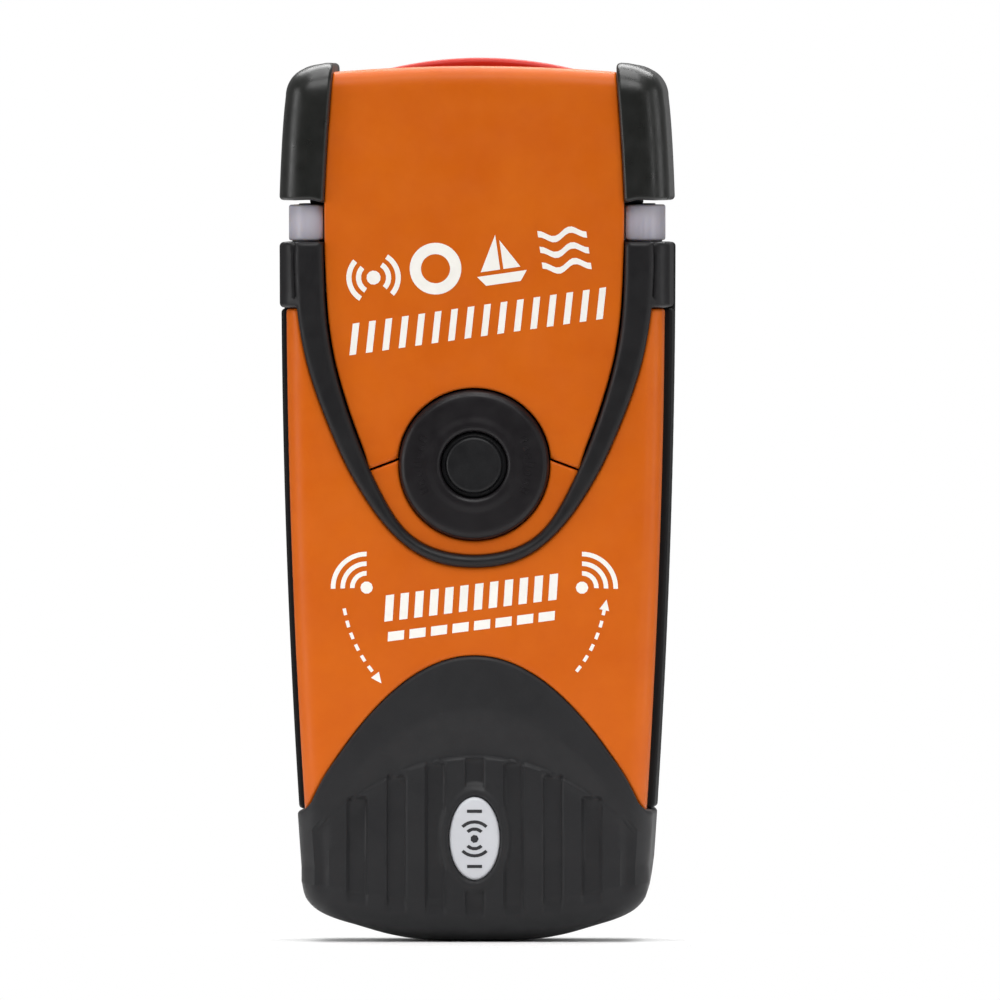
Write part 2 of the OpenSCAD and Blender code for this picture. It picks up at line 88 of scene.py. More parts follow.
def resample(points, step, closed=True):
    """Even spacing along a polyline, keeping its sharp corners."""
    points = np.asarray(points, float)
    count = len(points)
    corners = []
    for i in range(count) if closed else range(1, count - 1):
        before = points[i] - points[i - 1]
        after = points[(i + 1) % count] - points[i]
        turn = atan2(before[0] * after[1] - before[1] * after[0], float(before @ after))
        if abs(degrees(turn)) > CORNER_DEG:
            corners.append(i)
    if closed:
        corners = corners or [0]
        stops = corners + [corners[0] + count]
    else:
        stops = [0] + corners + [count - 1]
    out = []
    for first, last in zip(stops[:-1], stops[1:]):
        span = points[np.arange(first, last + 1) % count]
        along = path_length(span)
        parts = max(1, int(round(along[-1] / step)))
        places = np.linspace(0, along[-1], parts + 1)[:-1]
        out.append(np.c_[np.interp(places, along, span[:, 0]),
                         np.interp(places, along, span[:, 1])])
    if not closed:
        out.append(points[-1:])
    return np.concatenate(out)


def catmull(points, parts=8):
    """Catmull-Rom curve through the points, each span cut into parts."""
    points = np.asarray(points, float)
    last = len(points) - 1
    out = []
    for i in range(last):
        p0, p1 = points[max(i - 1, 0)], points[i]
        p2, p3 = points[i + 1], points[min(i + 2, last)]
        for k in range(parts):
            t = k / parts
            out.append(0.5 * (2 * p1 + (p2 - p0) * t + (2 * p0 - 5 * p1 + 4 * p2 - p3) * t * t
                              + (3 * p1 - p0 - 3 * p2 + p3) * t**3))
    out.append(points[-1])
    return np.array(out)


def relax(points, rounds):
    """Smooths a polyline, its two end points fixed."""
    points = np.array(points, float)
    for _ in range(rounds):
        points[1:-1] = 0.25 * points[:-2] + 0.5 * points[1:-1] + 0.25 * points[2:]
    return points


def shift(points, distance, closed=True):
    """Moves each point to the left of travel, which is inward on a counter-clockwise loop."""
    if closed:
        along = np.roll(points, -1, axis=0) - np.roll(points, 1, axis=0)
    else:
        along = np.gradient(points, axis=0)
    along = along / np.maximum(np.linalg.norm(along, axis=1, keepdims=True), 1e-9)
    return points + distance * np.c_[-along[:, 1], along[:, 0]]


def mirrored(points):
    """The other half of an outline, carrying on from the end of this one."""
    return np.asarray(points)[::-1] * [-1, 1]


def counter_clockwise(points):
    x, y = np.asarray(points, float).T
    area = 0.5 * np.sum(x * np.roll(y, -1) - np.roll(x, -1) * y)
    points = np.asarray(points, float)
    return points if area > 0 else points[::-1].copy()


def below(points, z):
    return points[points[:, 1] < z]


def full_turn(count):
    return np.linspace(0, 2 * np.pi, count + 1)[:-1]


def disc(x, z, radius, count=24):
    angles = full_turn(count)
    return np.c_[x + radius * np.cos(angles), z + radius * np.sin(angles)]


def arc_points(x, y, radius, angles):
    return [(x + radius * cos(angle), y + radius * sin(angle)) for angle in angles]


def rect(x0, x1, z0, z1):
    return np.array([(x0, z0), (x1, z0), (x1, z1), (x0, z1)])


def inside(points, polygon):
    """Even-odd test of each point against a polygon."""
    x, y = points[:, 0], points[:, 1]
    result = np.zeros(len(points), bool)
    for (x1, y1), (x0, y0) in zip(polygon, np.roll(polygon, 1, axis=0)):
        if y1 != y0:
            crossing = (x0 - x1) * (y - y1) / (y0 - y1) + x1
            result ^= ((y1 > y) != (y0 > y)) & (x < crossing)
    return result


def distance_to(points, lines, closed=True):
    """Distance from each point to the nearest of the polylines, in batches to save memory."""
    batch = 1500
    best = np.full(len(points), 1e9)
    for line in lines:
        start = line if closed else line[:-1]
        span = (np.roll(line, -1, axis=0) if closed else line[1:]) - start
        length2 = np.maximum((span**2).sum(1), 1e-12)
        for k in range(0, len(points), batch):
            some = points[k:k + batch, None]
            t = np.clip(((some - start) * span).sum(2) / length2, 0, 1)
            gap = some - (start + t[..., None] * span)
            nearest = np.sqrt((gap**2).sum(2)).min(1)
            best[k:k + batch] = np.minimum(best[k:k + batch], nearest)
    return best


def rounding(distance, radius):
    """How far a quarter-round edge has fallen at a distance in from it."""
    if radius <= 0:
        return np.zeros_like(distance)
    t = np.clip(radius - distance, 0, radius)
    return radius - np.sqrt(np.maximum(radius * radius - t * t, 0))


# ---------------------------------------------------------------- meshes

def flat_patch(outline, holes=(), radius=0.4, step=1.0, spacing=0.5, lines=(),
               rings=EDGE_RINGS, line_rings=LINE_RINGS):
    """Triangulates a 2-D region, finely near its edges and lines.

    Returns the points, the triangles and the boundary loops.
    """
    loops = [resample(counter_clockwise(outline), spacing)]
    loops += [resample(counter_clockwise(hole)[::-1].copy(), min(spacing, 0.35))
              for hole in holes]
    edges = []
    first = 0
    for loop in loops:
        count = len(loop)
        edges += [(first + i, first + (i + 1) % count) for i in range(count)]
        first += count

    # inner points, each group with its least distance from the loops
    insets = [part * radius for part in rings] + [radius + 0.4 * step] if radius > 0 else []
    margin = insets[-1] if insets else 0
    groups = [(shift(loop, inset), inset * 0.92) for loop in loops for inset in insets]
    low, high = loops[0].min(0), loops[0].max(0)
    grid_x, grid_y = np.meshgrid(np.arange(low[0], high[0] + step, step),
                                 np.arange(low[1], high[1] + step, step * 0.866))
    grid_x = grid_x + (np.arange(len(grid_x))[:, None] % 2) * step * 0.5
    groups.append((np.c_[grid_x.ravel(), grid_y.ravel()], margin + 0.45 * step))
    for line in lines:
        track = resample(line, spacing, closed=False)
        track = track[inside(track, loops[0]) & (distance_to(track, loops) > 0.3)]
        beside = [shift(track, side * gap, closed=False)
                  for gap in line_rings for side in (-1, 1)]
        groups += [(points, max(margin, 0.2)) for points in [track] + beside]

    def on_patch(points):
        keep = inside(points, loops[0])
        for hole in loops[1:]:
            keep &= ~inside(points, hole)
        return keep

    taken, inner = set(), []
    for points, clearance in groups:
        points = points[on_patch(points)]
        for point in points[distance_to(points, loops) > clearance]:
            cell = (int(point[0] // MERGE_CELL), int(point[1] // MERGE_CELL))
            if cell not in taken:
                taken.add(cell)
                inner.append(point)

    sites = [Vector(point) for point in [*np.concatenate(loops), *inner]]
    result = delaunay_2d_cdt(sites, edges, [], 0, 1e-7)
    points = np.array([[p.x, p.y] for p in result[0]])
    faces = np.array(result[2])
    faces = faces[on_patch(points[faces].mean(1))]
    side1 = points[faces[:, 1]] - points[faces[:, 0]]
    side2 = points[faces[:, 2]] - points[faces[:, 0]]
    area = side1[:, 0] * side2[:, 1] - side1[:, 1] * side2[:, 0]
    solid = np.abs(area) > 1e-7
    faces, area = faces[solid], area[solid]
    faces[area < 0] = faces[area < 0][:, ::-1]
    used, index = np.unique(faces, return_inverse=True)
    return points[used], index.reshape(faces.shape), loops


def grid_faces(rows, columns, wrap_rows=False, wrap_columns=False):
    faces = []
    for j in range(rows if wrap_rows else rows - 1):
        this, after = j * columns, (j + 1) % rows * columns
        for i in range(columns if wrap_columns else columns - 1):
            k = (i + 1) % columns
            faces.append((this + i, this + k, after + k, after + i))
    return faces


def vertex_normals(verts, triangles):
    normals = np.zeros_like(verts)
    a, b, c = (verts[triangles[:, k]] for k in range(3))
    face_normals = np.cross(b - a, c - a)
    for k in range(3):
        np.add.at(normals, triangles[:, k], face_normals)
    return normals / np.maximum(np.linalg.norm(normals, axis=1, keepdims=True), 1e-12)


def make_object(name, verts, faces, sharp=40.0):
    """Cleaned, smooth-shaded object from millimetre vertices; sharp is in degrees."""
    mesh = bpy.data.meshes.new(name)
    mesh.from_pydata([tuple(v * MM) for v in verts], [], [tuple(int(i) for i in f) for f in faces])
    bm = bmesh.new()
    bm.from_mesh(mesh)
    bmesh.ops.remove_doubles(bm, verts=bm.verts, dist=1e-7)
    bmesh.ops.dissolve_degenerate(bm, edges=bm.edges, dist=1e-7)
    bmesh.ops.recalc_face_normals(bm, faces=bm.faces)
    return smooth_object(name, mesh, bm, sharp)


def smooth_object(name, mesh, bm, sharp):
    bm.to_mesh(mesh)
    bm.free()
    mesh.polygons.foreach_set("use_smooth", [True] * len(mesh.polygons))
    mesh.set_sharp_from_angle(angle=radians(sharp))
    mesh.update()
    obj = bpy.data.objects.new(name, mesh)
    bpy.context.scene.collection.objects.link(obj)
    return obj


def shell(verts, faces, drop, thick, outward, back_drop=0.0, unique=dict.fromkeys):
    """Closes an open surface into a solid.

    The outer face is lowered by drop, the inner one lies thick below the surface and
    is raised by back_drop. The container made by unique sets the order of the walls.
    """
    faces = [tuple(f) for f in faces]
    fans = [(f[0], f[k], f[k + 1]) for f in faces for k in range(1, len(f) - 1)]
    normals = vertex_normals(verts, np.array(fans))
    if (normals * outward).sum() < 0:
        faces = [f[::-1] for f in faces]
        normals = -normals
    outer = verts - normals * drop[:, None]
    inner = verts - normals * thick + normals * np.reshape(back_drop, (-1, 1))
    count = len(verts)
    edges = unique(edge for f in faces for edge in zip(f, f[1:] + f[:1]))
    solid = faces + [tuple(count + i for i in f[::-1]) for f in faces]
    solid += [(b, a, count + a, count + b) for a, b in edges if (b, a) not in edges]
    return np.concatenate([outer, inner]), solid


def grid_shell(verts, faces, drop, thick):
    """Shell whose outside points away from the X-parallel line through its middle."""
    outward = verts - verts.mean(0) * [0, 1, 1]
    return shell(verts, faces, drop, thick, outward, unique=set)


def patch_mesh(surface, outline, holes=(), radius=0.4, step=1.0, spacing=0.5, thick=1.5,
               lines=(), extra_drop=None, back_radius=0.0, outward=FRONT, rings=EDGE_RINGS):
    """Solid plate with rounded edges; surface maps the flat outline into space."""
    flat, faces, loops = flat_patch(outline, holes, radius, step, spacing, lines, rings)
    distance = distance_to(flat, loops)
    drop = rounding(distance, radius)
    if extra_drop:
        drop = drop + extra_drop(flat[:, 0], flat[:, 1])
    verts = surface(flat[:, 0], flat[:, 1])
    return shell(verts, faces, drop, thick, outward, rounding(distance, back_radius))


def patch_solid(name, surface, outline, **options):
    return make_object(name, *patch_mesh(surface, outline, **options))


def join_parts(name, parts, sharp=40.0):
    all_verts, all_faces, count = [], [], 0
    for verts, faces in parts:
        all_verts.append(verts)
        all_faces += [tuple(i + count for i in f) for f in faces]
        count += len(verts)
    return make_object(name, np.concatenate(all_verts), all_faces, sharp)


def plane(axis, place):
    """Surface at a fixed place on one axis, spanned by the other two in order."""
    def surface(a, b):
        coords = [a, b]
        coords.insert(axis, np.full_like(a, place))
        return np.stack(coords, axis=-1)
    return surface


def revolve(profile, x, z, count=96, closed=True):
    """(radius, y) profile turned about the line parallel to Y through (x, z)."""
    verts = []
    for i in range(count):
        angle = 2 * pi * i / count
        verts += [(x + r * cos(angle), y, z + r * sin(angle)) for r, y in profile]
    return np.array(verts), grid_faces(count, len(profile), True, closed)


def soften(profile, radius, parts=3):
    """Rounds the corners of a (radius, y) profile, except those on the axis."""
    out = []
    profile = [np.array(p, float) for p in profile]
    for i, corner in enumerate(profile):
        if corner[0] < 1e-6:
            out.append(corner)
            continue
        before, after = profile[i - 1] - corner, profile[(i + 1) % len(profile)] - corner
        len0, len1 = np.linalg.norm(before), np.linalg.norm(after)
        cut = min(radius, 0.45 * len0, 0.45 * len1)
        start, end = corner + before / len0 * cut, corner + after / len1 * cut
        for t in np.linspace(0, 1, parts + 1):
            out.append((1 - t)**2 * start + 2 * t * (1 - t) * corner + t * t * end)
    return out


def refine(name, node, bevel):
    """A copy of a CAD node with its coplanar triangles merged and its edges broken."""
    bm = bmesh.new()
    bm.from_mesh(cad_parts[node].data)
    bmesh.ops.remove_doubles(bm, verts=bm.verts, dist=2e-6)
    bmesh.ops.dissolve_limit(bm, angle_limit=radians(1.5), verts=bm.verts, edges=bm.edges)
    edges = [e for e in bm.edges
             if len(e.link_faces) == 2 and e.calc_face_angle(0) > radians(28)]
    bmesh.ops.bevel(bm, geom=edges, offset=bevel * MM, segments=2, profile=0.5,
                    affect="EDGES", clamp_overlap=True)
    bmesh.ops.remove_doubles(bm, verts=bm.verts, dist=1e-6)
    bmesh.ops.triangulate(bm, faces=[f for f in bm.faces if len(f.verts) > 4])
    bmesh.ops.recalc_face_normals(bm, faces=bm.faces)
    obj = smooth_object(name, bpy.data.meshes.new(name), bm, 35)
    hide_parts(node)
    return obj


# ---------------------------------------------------------------- materials

def srgb(*levels):
    """Linear colour from 0-255 sRGB levels."""
    return tuple((c / 255 / 12.92) if c / 255 <= 0.04045 else ((c / 255 + 0.055) / 1.055)**2.4
                 for c in levels)


def add_node(tree, kind, inputs=None, **settings):
    """New shader node; each input is given a value or the socket that feeds it."""
    node = tree.nodes.new("ShaderNode" + kind)
    for name, value in settings.items():
        setattr(node, name, value)
    set_inputs(tree, node, inputs or {})
    return node


def set_inputs(tree, node, inputs):
    for name, value in inputs.items():
        if isinstance(value, bpy.types.NodeSocket):
            tree.links.new(value, node.inputs[name])
        else:
            node.inputs[name].default_value = value


def material(name, rgb, rough=0.4, grain=0.25, bump=0.15, blotch=6.0, vary=0.06,
             rough_vary=0.08, metallic=0.0, transmission=0.0, coat=0.0, ior=1.5, sheen=0.0,
             subsurface=0.0, brushed=None, tint=None, specular=0.5, dust=0.0):
    """Fine surface grain with slow colour and gloss variation.

    grain and blotch are feature sizes in mm; vary and rough_vary are the spreads of
    colour and roughness; tint colours the light blotches; brushed stretches the
    textures; dust is the strength of grey specks.
    """
    mat = bpy.data.materials.new(name)
    mat.use_nodes = True
    tree = mat.node_tree
    place = add_node(tree, "TexCoord").outputs["Object"]
    if brushed:
        mapping = add_node(tree, "Mapping", {"Scale": brushed, "Vector": place})
        place = mapping.outputs["Vector"]

    def noise(size, detail, roughness=0.5):
        return add_node(tree, "TexNoise", {
            "Scale": 1.0 / (size * MM), "Detail": detail, "Roughness": roughness,
            "Vector": place}).outputs["Fac"]

    def ranged(socket, low, high, start=0.3, end=0.7):
        return add_node(tree, "MapRange", {
            "From Min": start, "From Max": end, "To Min": low, "To Max": high,
            "Value": socket}).outputs["Result"]

    slow = noise(blotch, 4.0, 0.6)
    fine = noise(grain, 2.0)
    dark = tuple(c * (1 - vary) for c in rgb)
    light = tuple(min(1.0, c * (1 + vary) + 0.02 * vary) for c in (tint or rgb))
    colour = add_node(tree, "Mix", {
        "A": (*dark, 1), "B": (*light, 1), "Factor": ranged(slow, 0, 1)},
        data_type="RGBA").outputs["Result"]
    if dust > 0:
        speck = noise(grain * 3.2, 6.0, 0.7)
        colour = add_node(tree, "Mix", {
            "A": colour, "B": (0.35, 0.34, 0.33, 1), "Factor": ranged(speck, 0, dust, 0.58, 0.8)},
            data_type="RGBA").outputs["Result"]
    gloss = ranged(noise(blotch * 0.35, 3.0), max(0.02, rough - rough_vary), rough + rough_vary)
    relief = add_node(tree, "Bump", {
        "Strength": bump, "Distance": grain * MM * 0.25, "Height": fine})
    bsdf = tree.nodes["Principled BSDF"]
    set_inputs(tree, bsdf, {
        "Base Color": colour, "Roughness": gloss, "Normal": relief.outputs["Normal"],
        "Metallic": metallic, "IOR": ior, "Transmission Weight": transmission,
        "Coat Weight": coat, "Coat Roughness": 0.25, "Sheen Weight": sheen,
        "Sheen Roughness": 0.5, "Specular IOR Level": specular})
    if subsurface:
        set_inputs(tree, bsdf, {
            "Subsurface Weight": subsurface, "Subsurface Radius": (0.002, 0.0015, 0.001),
            "Subsurface Scale": 1.0})
    return mat


MATERIALS = {
    "orange": material("orange_plastic", srgb(208, 95, 12), tint=srgb(212, 102, 15), rough=0.42,
                       grain=0.16, bump=0.10, vary=0.02, blotch=9, subsurface=0.05,
                       specular=0.2),
    "black_shell": material("black_textured_plastic", srgb(18, 18, 19), rough=0.55, grain=0.22,
                            bump=0.3, rough_vary=0.04, dust=0.01, specular=0.14),
    "trim": material("black_trim_rubber", srgb(23, 22, 24), rough=0.46, grain=0.14, bump=0.14,
                     dust=0.01, specular=0.3),
    "boot": material("boot_rubber", srgb(30, 30, 32), rough=0.52, grain=0.16, bump=0.16,
                     vary=0.05, dust=0.015, sheen=0.05, specular=0.3),
    "grip": material("grip_rubber", srgb(23, 24, 22), rough=0.34, grain=0.3, bump=0.06,
                     vary=0.04, dust=0.008, sheen=0.05, specular=0.45),
    "bezel": material("bezel_plastic", srgb(20, 17, 20), grain=0.12, bump=0.1, vary=0.05,
                      dust=0.01, specular=0.3),
    "button": material("button_rubber", srgb(18, 18, 20), rough=0.45, grain=0.12, bump=0.14,
                       vary=0.08, dust=0.03, specular=0.3),
    "seal": material("seal_rubber", srgb(24, 24, 25), rough=0.6, grain=0.2, bump=0.2, vary=0.1),
    "diffuser": material("frosted_diffuser", srgb(187, 183, 194), rough=0.38, grain=0.3,
                         bump=0.08, vary=0.04, subsurface=0.6, coat=0.2, ior=1.45),
    "lens": material("clear_lens", srgb(235, 242, 245), rough=0.06, grain=0.5, bump=0.02,
                     vary=0.01, rough_vary=0.03, transmission=0.9, ior=1.49),
    "pipe": material("light_pipe", srgb(215, 240, 225), rough=0.15, grain=0.5, bump=0.05,
                     vary=0.02, rough_vary=0.05, transmission=0.6, ior=1.49),
    "red": material("red_plastic", srgb(196, 34, 14), rough=0.36, grain=0.2, bump=0.08,
                    vary=0.05, blotch=5, subsurface=0.05, specular=0.25),
    "badge": material("badge_plate", srgb(205, 207, 212), rough=0.35, grain=0.2, bump=0.06,
                      vary=0.03, coat=0.2),
    "print": material("printed_white", srgb(250, 247, 240), rough=0.5, grain=0.1, bump=0.08,
                      vary=0.03, blotch=2),
    "ink": material("printed_dark", srgb(34, 34, 38), rough=0.5, grain=0.1, bump=0.08,
                    vary=0.05, blotch=2),
    "steel": material("stainless_steel", (0.58, 0.58, 0.6), rough=0.26, grain=0.12, bump=0.2,
                      metallic=1.0, brushed=(6, 6, 0.15)),
    "screw": material("screw_steel", (0.5, 0.5, 0.52), rough=0.3, grain=0.1, vary=0.08,
                      metallic=1.0, blotch=2),
    "tin": material("tinned_steel", (0.62, 0.62, 0.63), rough=0.35, grain=0.3, vary=0.08,
                    metallic=1.0),
    "brass": material("plated_contact", (0.75, 0.56, 0.24), rough=0.28, grain=0.1, bump=0.1,
                      vary=0.08, metallic=1.0),
    "guide": material("guide_plastic", srgb(66, 66, 70), rough=0.5, grain=0.2, bump=0.2,
                      vary=0.08),
    "label": material("label_plate", srgb(206, 208, 205), rough=0.45, grain=0.12, bump=0.1,
                      vary=0.03, blotch=8),
    "pcb": material("solder_mask", srgb(14, 74, 44), rough=0.3, grain=0.6, vary=0.15,
                    blotch=1.5, coat=0.3),
    "part": material("component_black", srgb(30, 30, 32), grain=0.2, vary=0.1),
    "led": material("led_phosphor", srgb(235, 220, 120), grain=0.2, bump=0.05, vary=0.08,
                    subsurface=0.2),
    "ceramic": material("ceramic_patch", srgb(222, 214, 196), rough=0.55, grain=0.1, bump=0.12,
                        vary=0.04, blotch=2),
    "flex": material("flex_polyimide", srgb(176, 108, 30), rough=0.3, grain=0.4, bump=0.1,
                     vary=0.12, coat=0.2),
    "cell": material("cell_sleeve", srgb(28, 66, 130), rough=0.3, grain=0.5, bump=0.06,
                     vary=0.05, coat=0.4),
    "lead": material("lead_insulation", srgb(170, 24, 20), grain=0.1, bump=0.1, vary=0.05),
}


def paint(obj, mat):
    obj.data.materials.clear()
    obj.data.materials.append(MATERIALS[mat])


def finish_piece(obj, mat, body, slot, *replaces):
    paint(obj, mat)
    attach(obj, body)
    if replaces:
        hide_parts(*replaces)


# ---------------------------------------------------------------- case form

SHOULDER = 83.9         # top of the trim and of the case body
SHELL_TOP = 75.9        # top of the front skin, below the trim's shoulders
TRIM_LOW = 76.0         # underside of those shoulders
SPLIT = -4.0            # y of the seam between the front and rear shells
SHOULDER_SPLIT = 8.0    # y of the seam between the shoulders and the rear shell
SEAM = 0.08             # gap each side of a seam
REAR_DEPTH = 17.0
CROWN = 0.7             # fall of the front face from its middle to its sides
CROWN_HALF = 20.5       # x where the front face has fallen by CROWN
FOOT_SIDE = 15.8        # top of the rubber foot on the sides
BUTTON_Z = 57.2
BADGE_Z = 12.4

# (z, y distance of the front face)
front_depth = pchip([(0, 13.2), (9, 14.0), (13, 14.3), (30, 15.2), (57, 16.3), (84, 16.7),
                     (90, 16.7)])


def half_width(z):
    return 23.5 - 0.00047 * (84 - np.asarray(z, float))**2


class Side:
    """Front (sign -1) or rear (sign +1) half of the case skin.

    A place on it is (s, z), with s measured along the skin from the middle: over a
    crowned face, round a corner of the given radius, then straight down the side.
    """

    def __init__(self, sign, radius, crown, side_inset=0.0, face_inset=0.0):
        self.sign, self.radius, self.crown = sign, radius, crown
        self.side_inset, self.face_inset = side_inset, face_inset

    def section(self, z):
        z = np.asarray(z, float)
        radius = self.radius
        width = half_width(z) - self.side_inset
        slope = np.arctan(2 * self.crown / (width - radius))
        face = width - radius * (1 - np.sin(slope))
        depth = front_depth(z) if self.sign < 0 else np.full_like(z, REAR_DEPTH)
        depth = depth - self.face_inset
        return SimpleNamespace(
            width=width, slope=slope, face=face, depth=depth,
            centre_x=face - radius * np.sin(slope),
            centre_y=-depth + self.crown + radius * np.cos(slope),
            arc=radius * (np.pi / 2 - slope))

    def point(self, s, z):
        s, z = np.broadcast_arrays(np.asarray(s, float), np.asarray(z, float))
        cut = self.section(z)
        reach = np.abs(s)
        turn = cut.slope + (reach - cut.face) / self.radius
        on_face, on_arc = reach < cut.face, reach < cut.face + cut.arc
        x = np.where(on_face, reach,
                     np.where(on_arc, cut.centre_x + self.radius * np.sin(turn), cut.width))
        y = np.where(on_face, -cut.depth + self.crown * (reach / cut.face)**2,
                     np.where(on_arc, cut.centre_y - self.radius * np.cos(turn),
                              cut.centre_y + (reach - cut.face - cut.arc)))
        return np.stack([np.sign(s) * x, y * (-self.sign), z], axis=-1)

    def s_of_x(self, x, z):
        x = np.asarray(x, float)
        cut = self.section(z)
        reach = np.abs(x)
        turn = np.arcsin(np.clip((reach - cut.centre_x) / self.radius, -1, 1))
        round_corner = cut.face + self.radius * (turn - cut.slope)
        return np.sign(x) * np.where(reach < cut.face, reach, round_corner)

    def s_of_y(self, y, z):
        """Place on the straight side, for the right half."""
        cut = self.section(z)
        return cut.face + cut.arc + (np.asarray(y, float) * (-self.sign) - cut.centre_y)

    def on_skin(self, points):
        """(x, z) points as (s, z)."""
        return np.c_[self.s_of_x(points[:, 0], points[:, 1]), points[:, 1]]


def front_face(inset):
    """Crowned front surface of (x, z), set back by inset."""
    def surface(x, z):
        return np.stack([x, -(front_depth(z) - inset) + CROWN * (x / CROWN_HALF)**2, z], axis=-1)
    return surface


def foot_front(x):
    """Top line of the foot on the front."""
    return 34.3 - 0.0447 * np.asarray(x, float)**2


def foot_rear(x):
    """Top line of the foot on the back."""
    return 20.0 - 0.0095 * np.asarray(x, float)**2


def cap_edge(z):
    """Half width of the rear spine beside the cap grips."""
    return np.interp(z, [88, 90, 95, 100, 106], [17.8, 17.72, 17.45, 17.1, 16.6])


def full_u(half):
    """Right half plus its mirror image, running right top, bottom, left top."""
    both = np.concatenate([half, mirrored(half)[1:]])
    return relax(resample(both, 0.4, closed=False), 24)


# U-shaped trim: (x, z) of the right half, from the shoulder down to the centre line
U_INNER = full_u(catmull([
    (18.1, 85), (18.05, 81), (17.83, 75.5), (17.18, 70.7), (16.0, 66), (14.4, 61.2),
    (12.43, 56.4), (10.0, 51.6), (7.6, 48.6), (4.15, 46.85), (0, 46.25)]))
U_OUTER = full_u(catmull([
    (21.62, 85), (21.6, 80), (21.27, 75.5), (20.43, 70.7), (19.06, 66), (17.2, 61.2),
    (15.0, 56.4), (12.1, 51.7), (10.1, 49.25), (7.5, 46.9), (4.1, 45.3), (0, 44.8)]))


# ---------------------------------------------------------------- orange front shell

front_side = Side(-1, radius=2.75, crown=CROWN, side_inset=0.9, face_inset=0.4)


def build_front_shell():
    skin = front_side
    xs = np.linspace(-20.55, 20.55, 120)
    zs = foot_front(xs) + 0.06
    side_z = np.linspace(zs[-1], SHELL_TOP, 60)
    right = np.c_[skin.s_of_y(SPLIT - SEAM, side_z), side_z]
    trim = skin.on_skin(below(shift(U_OUTER, -0.06, closed=False), SHELL_TOP))
    outline = np.concatenate([
        skin.on_skin(np.c_[xs, zs]), right, [[trim[0, 0], SHELL_TOP]], trim,
        [[trim[-1, 0], SHELL_TOP]], mirrored(right)])
    shell_skin = patch_solid("front_shell_skin", skin.point, outline, radius=0.38, thick=2.4)
    finish_piece(shell_skin, "orange", "case", "orange_shell", "front_shell")


build_front_shell()


# ---------------------------------------------------------------- rear shell

rear_side = Side(1, radius=4.5, crown=0.001)
SCREWS = [(side, x, z) for side in (-1, 1) for x, z in ((18.0, 79.0), (17.2, 50.2))]
SPINE_TOP = 103.4
BLOCK_FRONT = 7.6       # y of the front of the blocks behind the spine


def rear_skin():
    """Curved back with screw holes and a shallow recess for the plate."""
    skin = rear_side
    xs = np.linspace(0, 21.2, 50)
    side_s = np.linspace(skin.s_of_x(21.2, FOOT_SIDE), skin.s_of_y(SPLIT + SEAM, FOOT_SIDE), 20)
    side_z = np.linspace(FOOT_SIDE + 0.06, SHELL_TOP, 60)
    spine_z = np.linspace(SHOULDER, SPINE_TOP, 30)
    right = np.concatenate([
        skin.on_skin(np.c_[xs, foot_rear(xs)]),
        np.c_[side_s, np.full(20, FOOT_SIDE + 0.05)],
        np.c_[skin.s_of_y(SPLIT + SEAM, side_z), side_z],
        [[float(skin.s_of_y(SHOULDER_SPLIT + SEAM, SHELL_TOP)), SHELL_TOP],
         [float(skin.s_of_y(SHOULDER_SPLIT + SEAM, SHOULDER)), SHOULDER - 0.05],
         [18.0, SHOULDER - 0.05], [17.4, SHOULDER + 0.4]],
        np.c_[cap_edge(spine_z) - 0.4, spine_z][1:],
        [[13.4, SPINE_TOP], [13.0, 103.0], [13.0, 95.6], [12.6, 95.0]]])
    outline = np.concatenate([right, mirrored(right)[:-1]])
    holes = [skin.on_skin(disc(x, z, 2.5, 48)) * [side, 1] for side, x, z in SCREWS]

    def recess(s, z):
        return 0.4 * (smooth01((14.45 - np.abs(s)) / 0.25) * smooth01((z - 29.75) / 0.25)
                      * smooth01((78.25 - z) / 0.25))
    recess_line = rect(-14.32, 14.32, 29.88, 78.12)[[0, 1, 2, 3, 0]]
    return patch_mesh(skin.point, outline, holes, radius=0.5, step=1.1, spacing=0.55,
                      thick=3.25, outward=BACK, lines=[recess_line], extra_drop=recess)


def spine_block(outline, z0, z1, holes=()):
    """Upright block from an (x, y) outline."""
    return patch_mesh(plane(2, z1), outline, holes, radius=0.25, step=3.0, spacing=1.5,
                      thick=z1 - z0, outward=UP, back_radius=0.02)


def lanyard_lug():
    """Eye at the foot of the back, from a (y, z) outline."""
    eye_y, eye_z, width = 14.4, 2.65, 5.0
    curve = arc_points(eye_y, eye_z, 2.6, np.linspace(radians(-120), radians(75), 40))
    outline = [(10.2, 6.4), (10.2, 2.9)] + curve + [(eye_y, 6.0), (13.6, 6.4)]
    hole = arc_points(eye_y, eye_z, 1.5, full_turn(48))
    return patch_mesh(plane(0, width / 2), outline, [hole], radius=0.45, step=0.9,
                      spacing=0.3, thick=width, outward=RIGHT, back_radius=0.45)


def build_rear_shell():
    # the two lower blocks have the antenna channel through them; the top one steps
    # back for the tab
    channel = rect(-6.45, 6.45, 9.35, 13.25)
    stepped = [(-16.4, BLOCK_FRONT), (16.4, BLOCK_FRONT), (16.4, 13.72), (13.0, 13.72),
               (13.0, 9.8), (-13.0, 9.8), (-13.0, 13.72), (-16.4, 13.72)]
    parts = [rear_skin(),
             spine_block(rect(-17.38, 17.38, BLOCK_FRONT, 13.7), 83.0, 89.6, [channel]),
             spine_block(rect(-16.98, 16.98, BLOCK_FRONT, 13.72), 89.62, 95.0, [channel]),
             spine_block(stepped, 95.02, SPINE_TOP)]
    boss = [(1.3, 0.3), (2.75, 0.3), (2.75, 14.15), (1.3, 14.15)]
    parts += [revolve(boss, side * x, z, 40) for side, x, z in SCREWS]
    parts.append(lanyard_lug())
    rear = join_parts("rear_shell_skin", parts)
    finish_piece(rear, "black_shell", "case", "black_shell", "rear_shell")


build_rear_shell()


# ---------------------------------------------------------------- U trim and shoulders

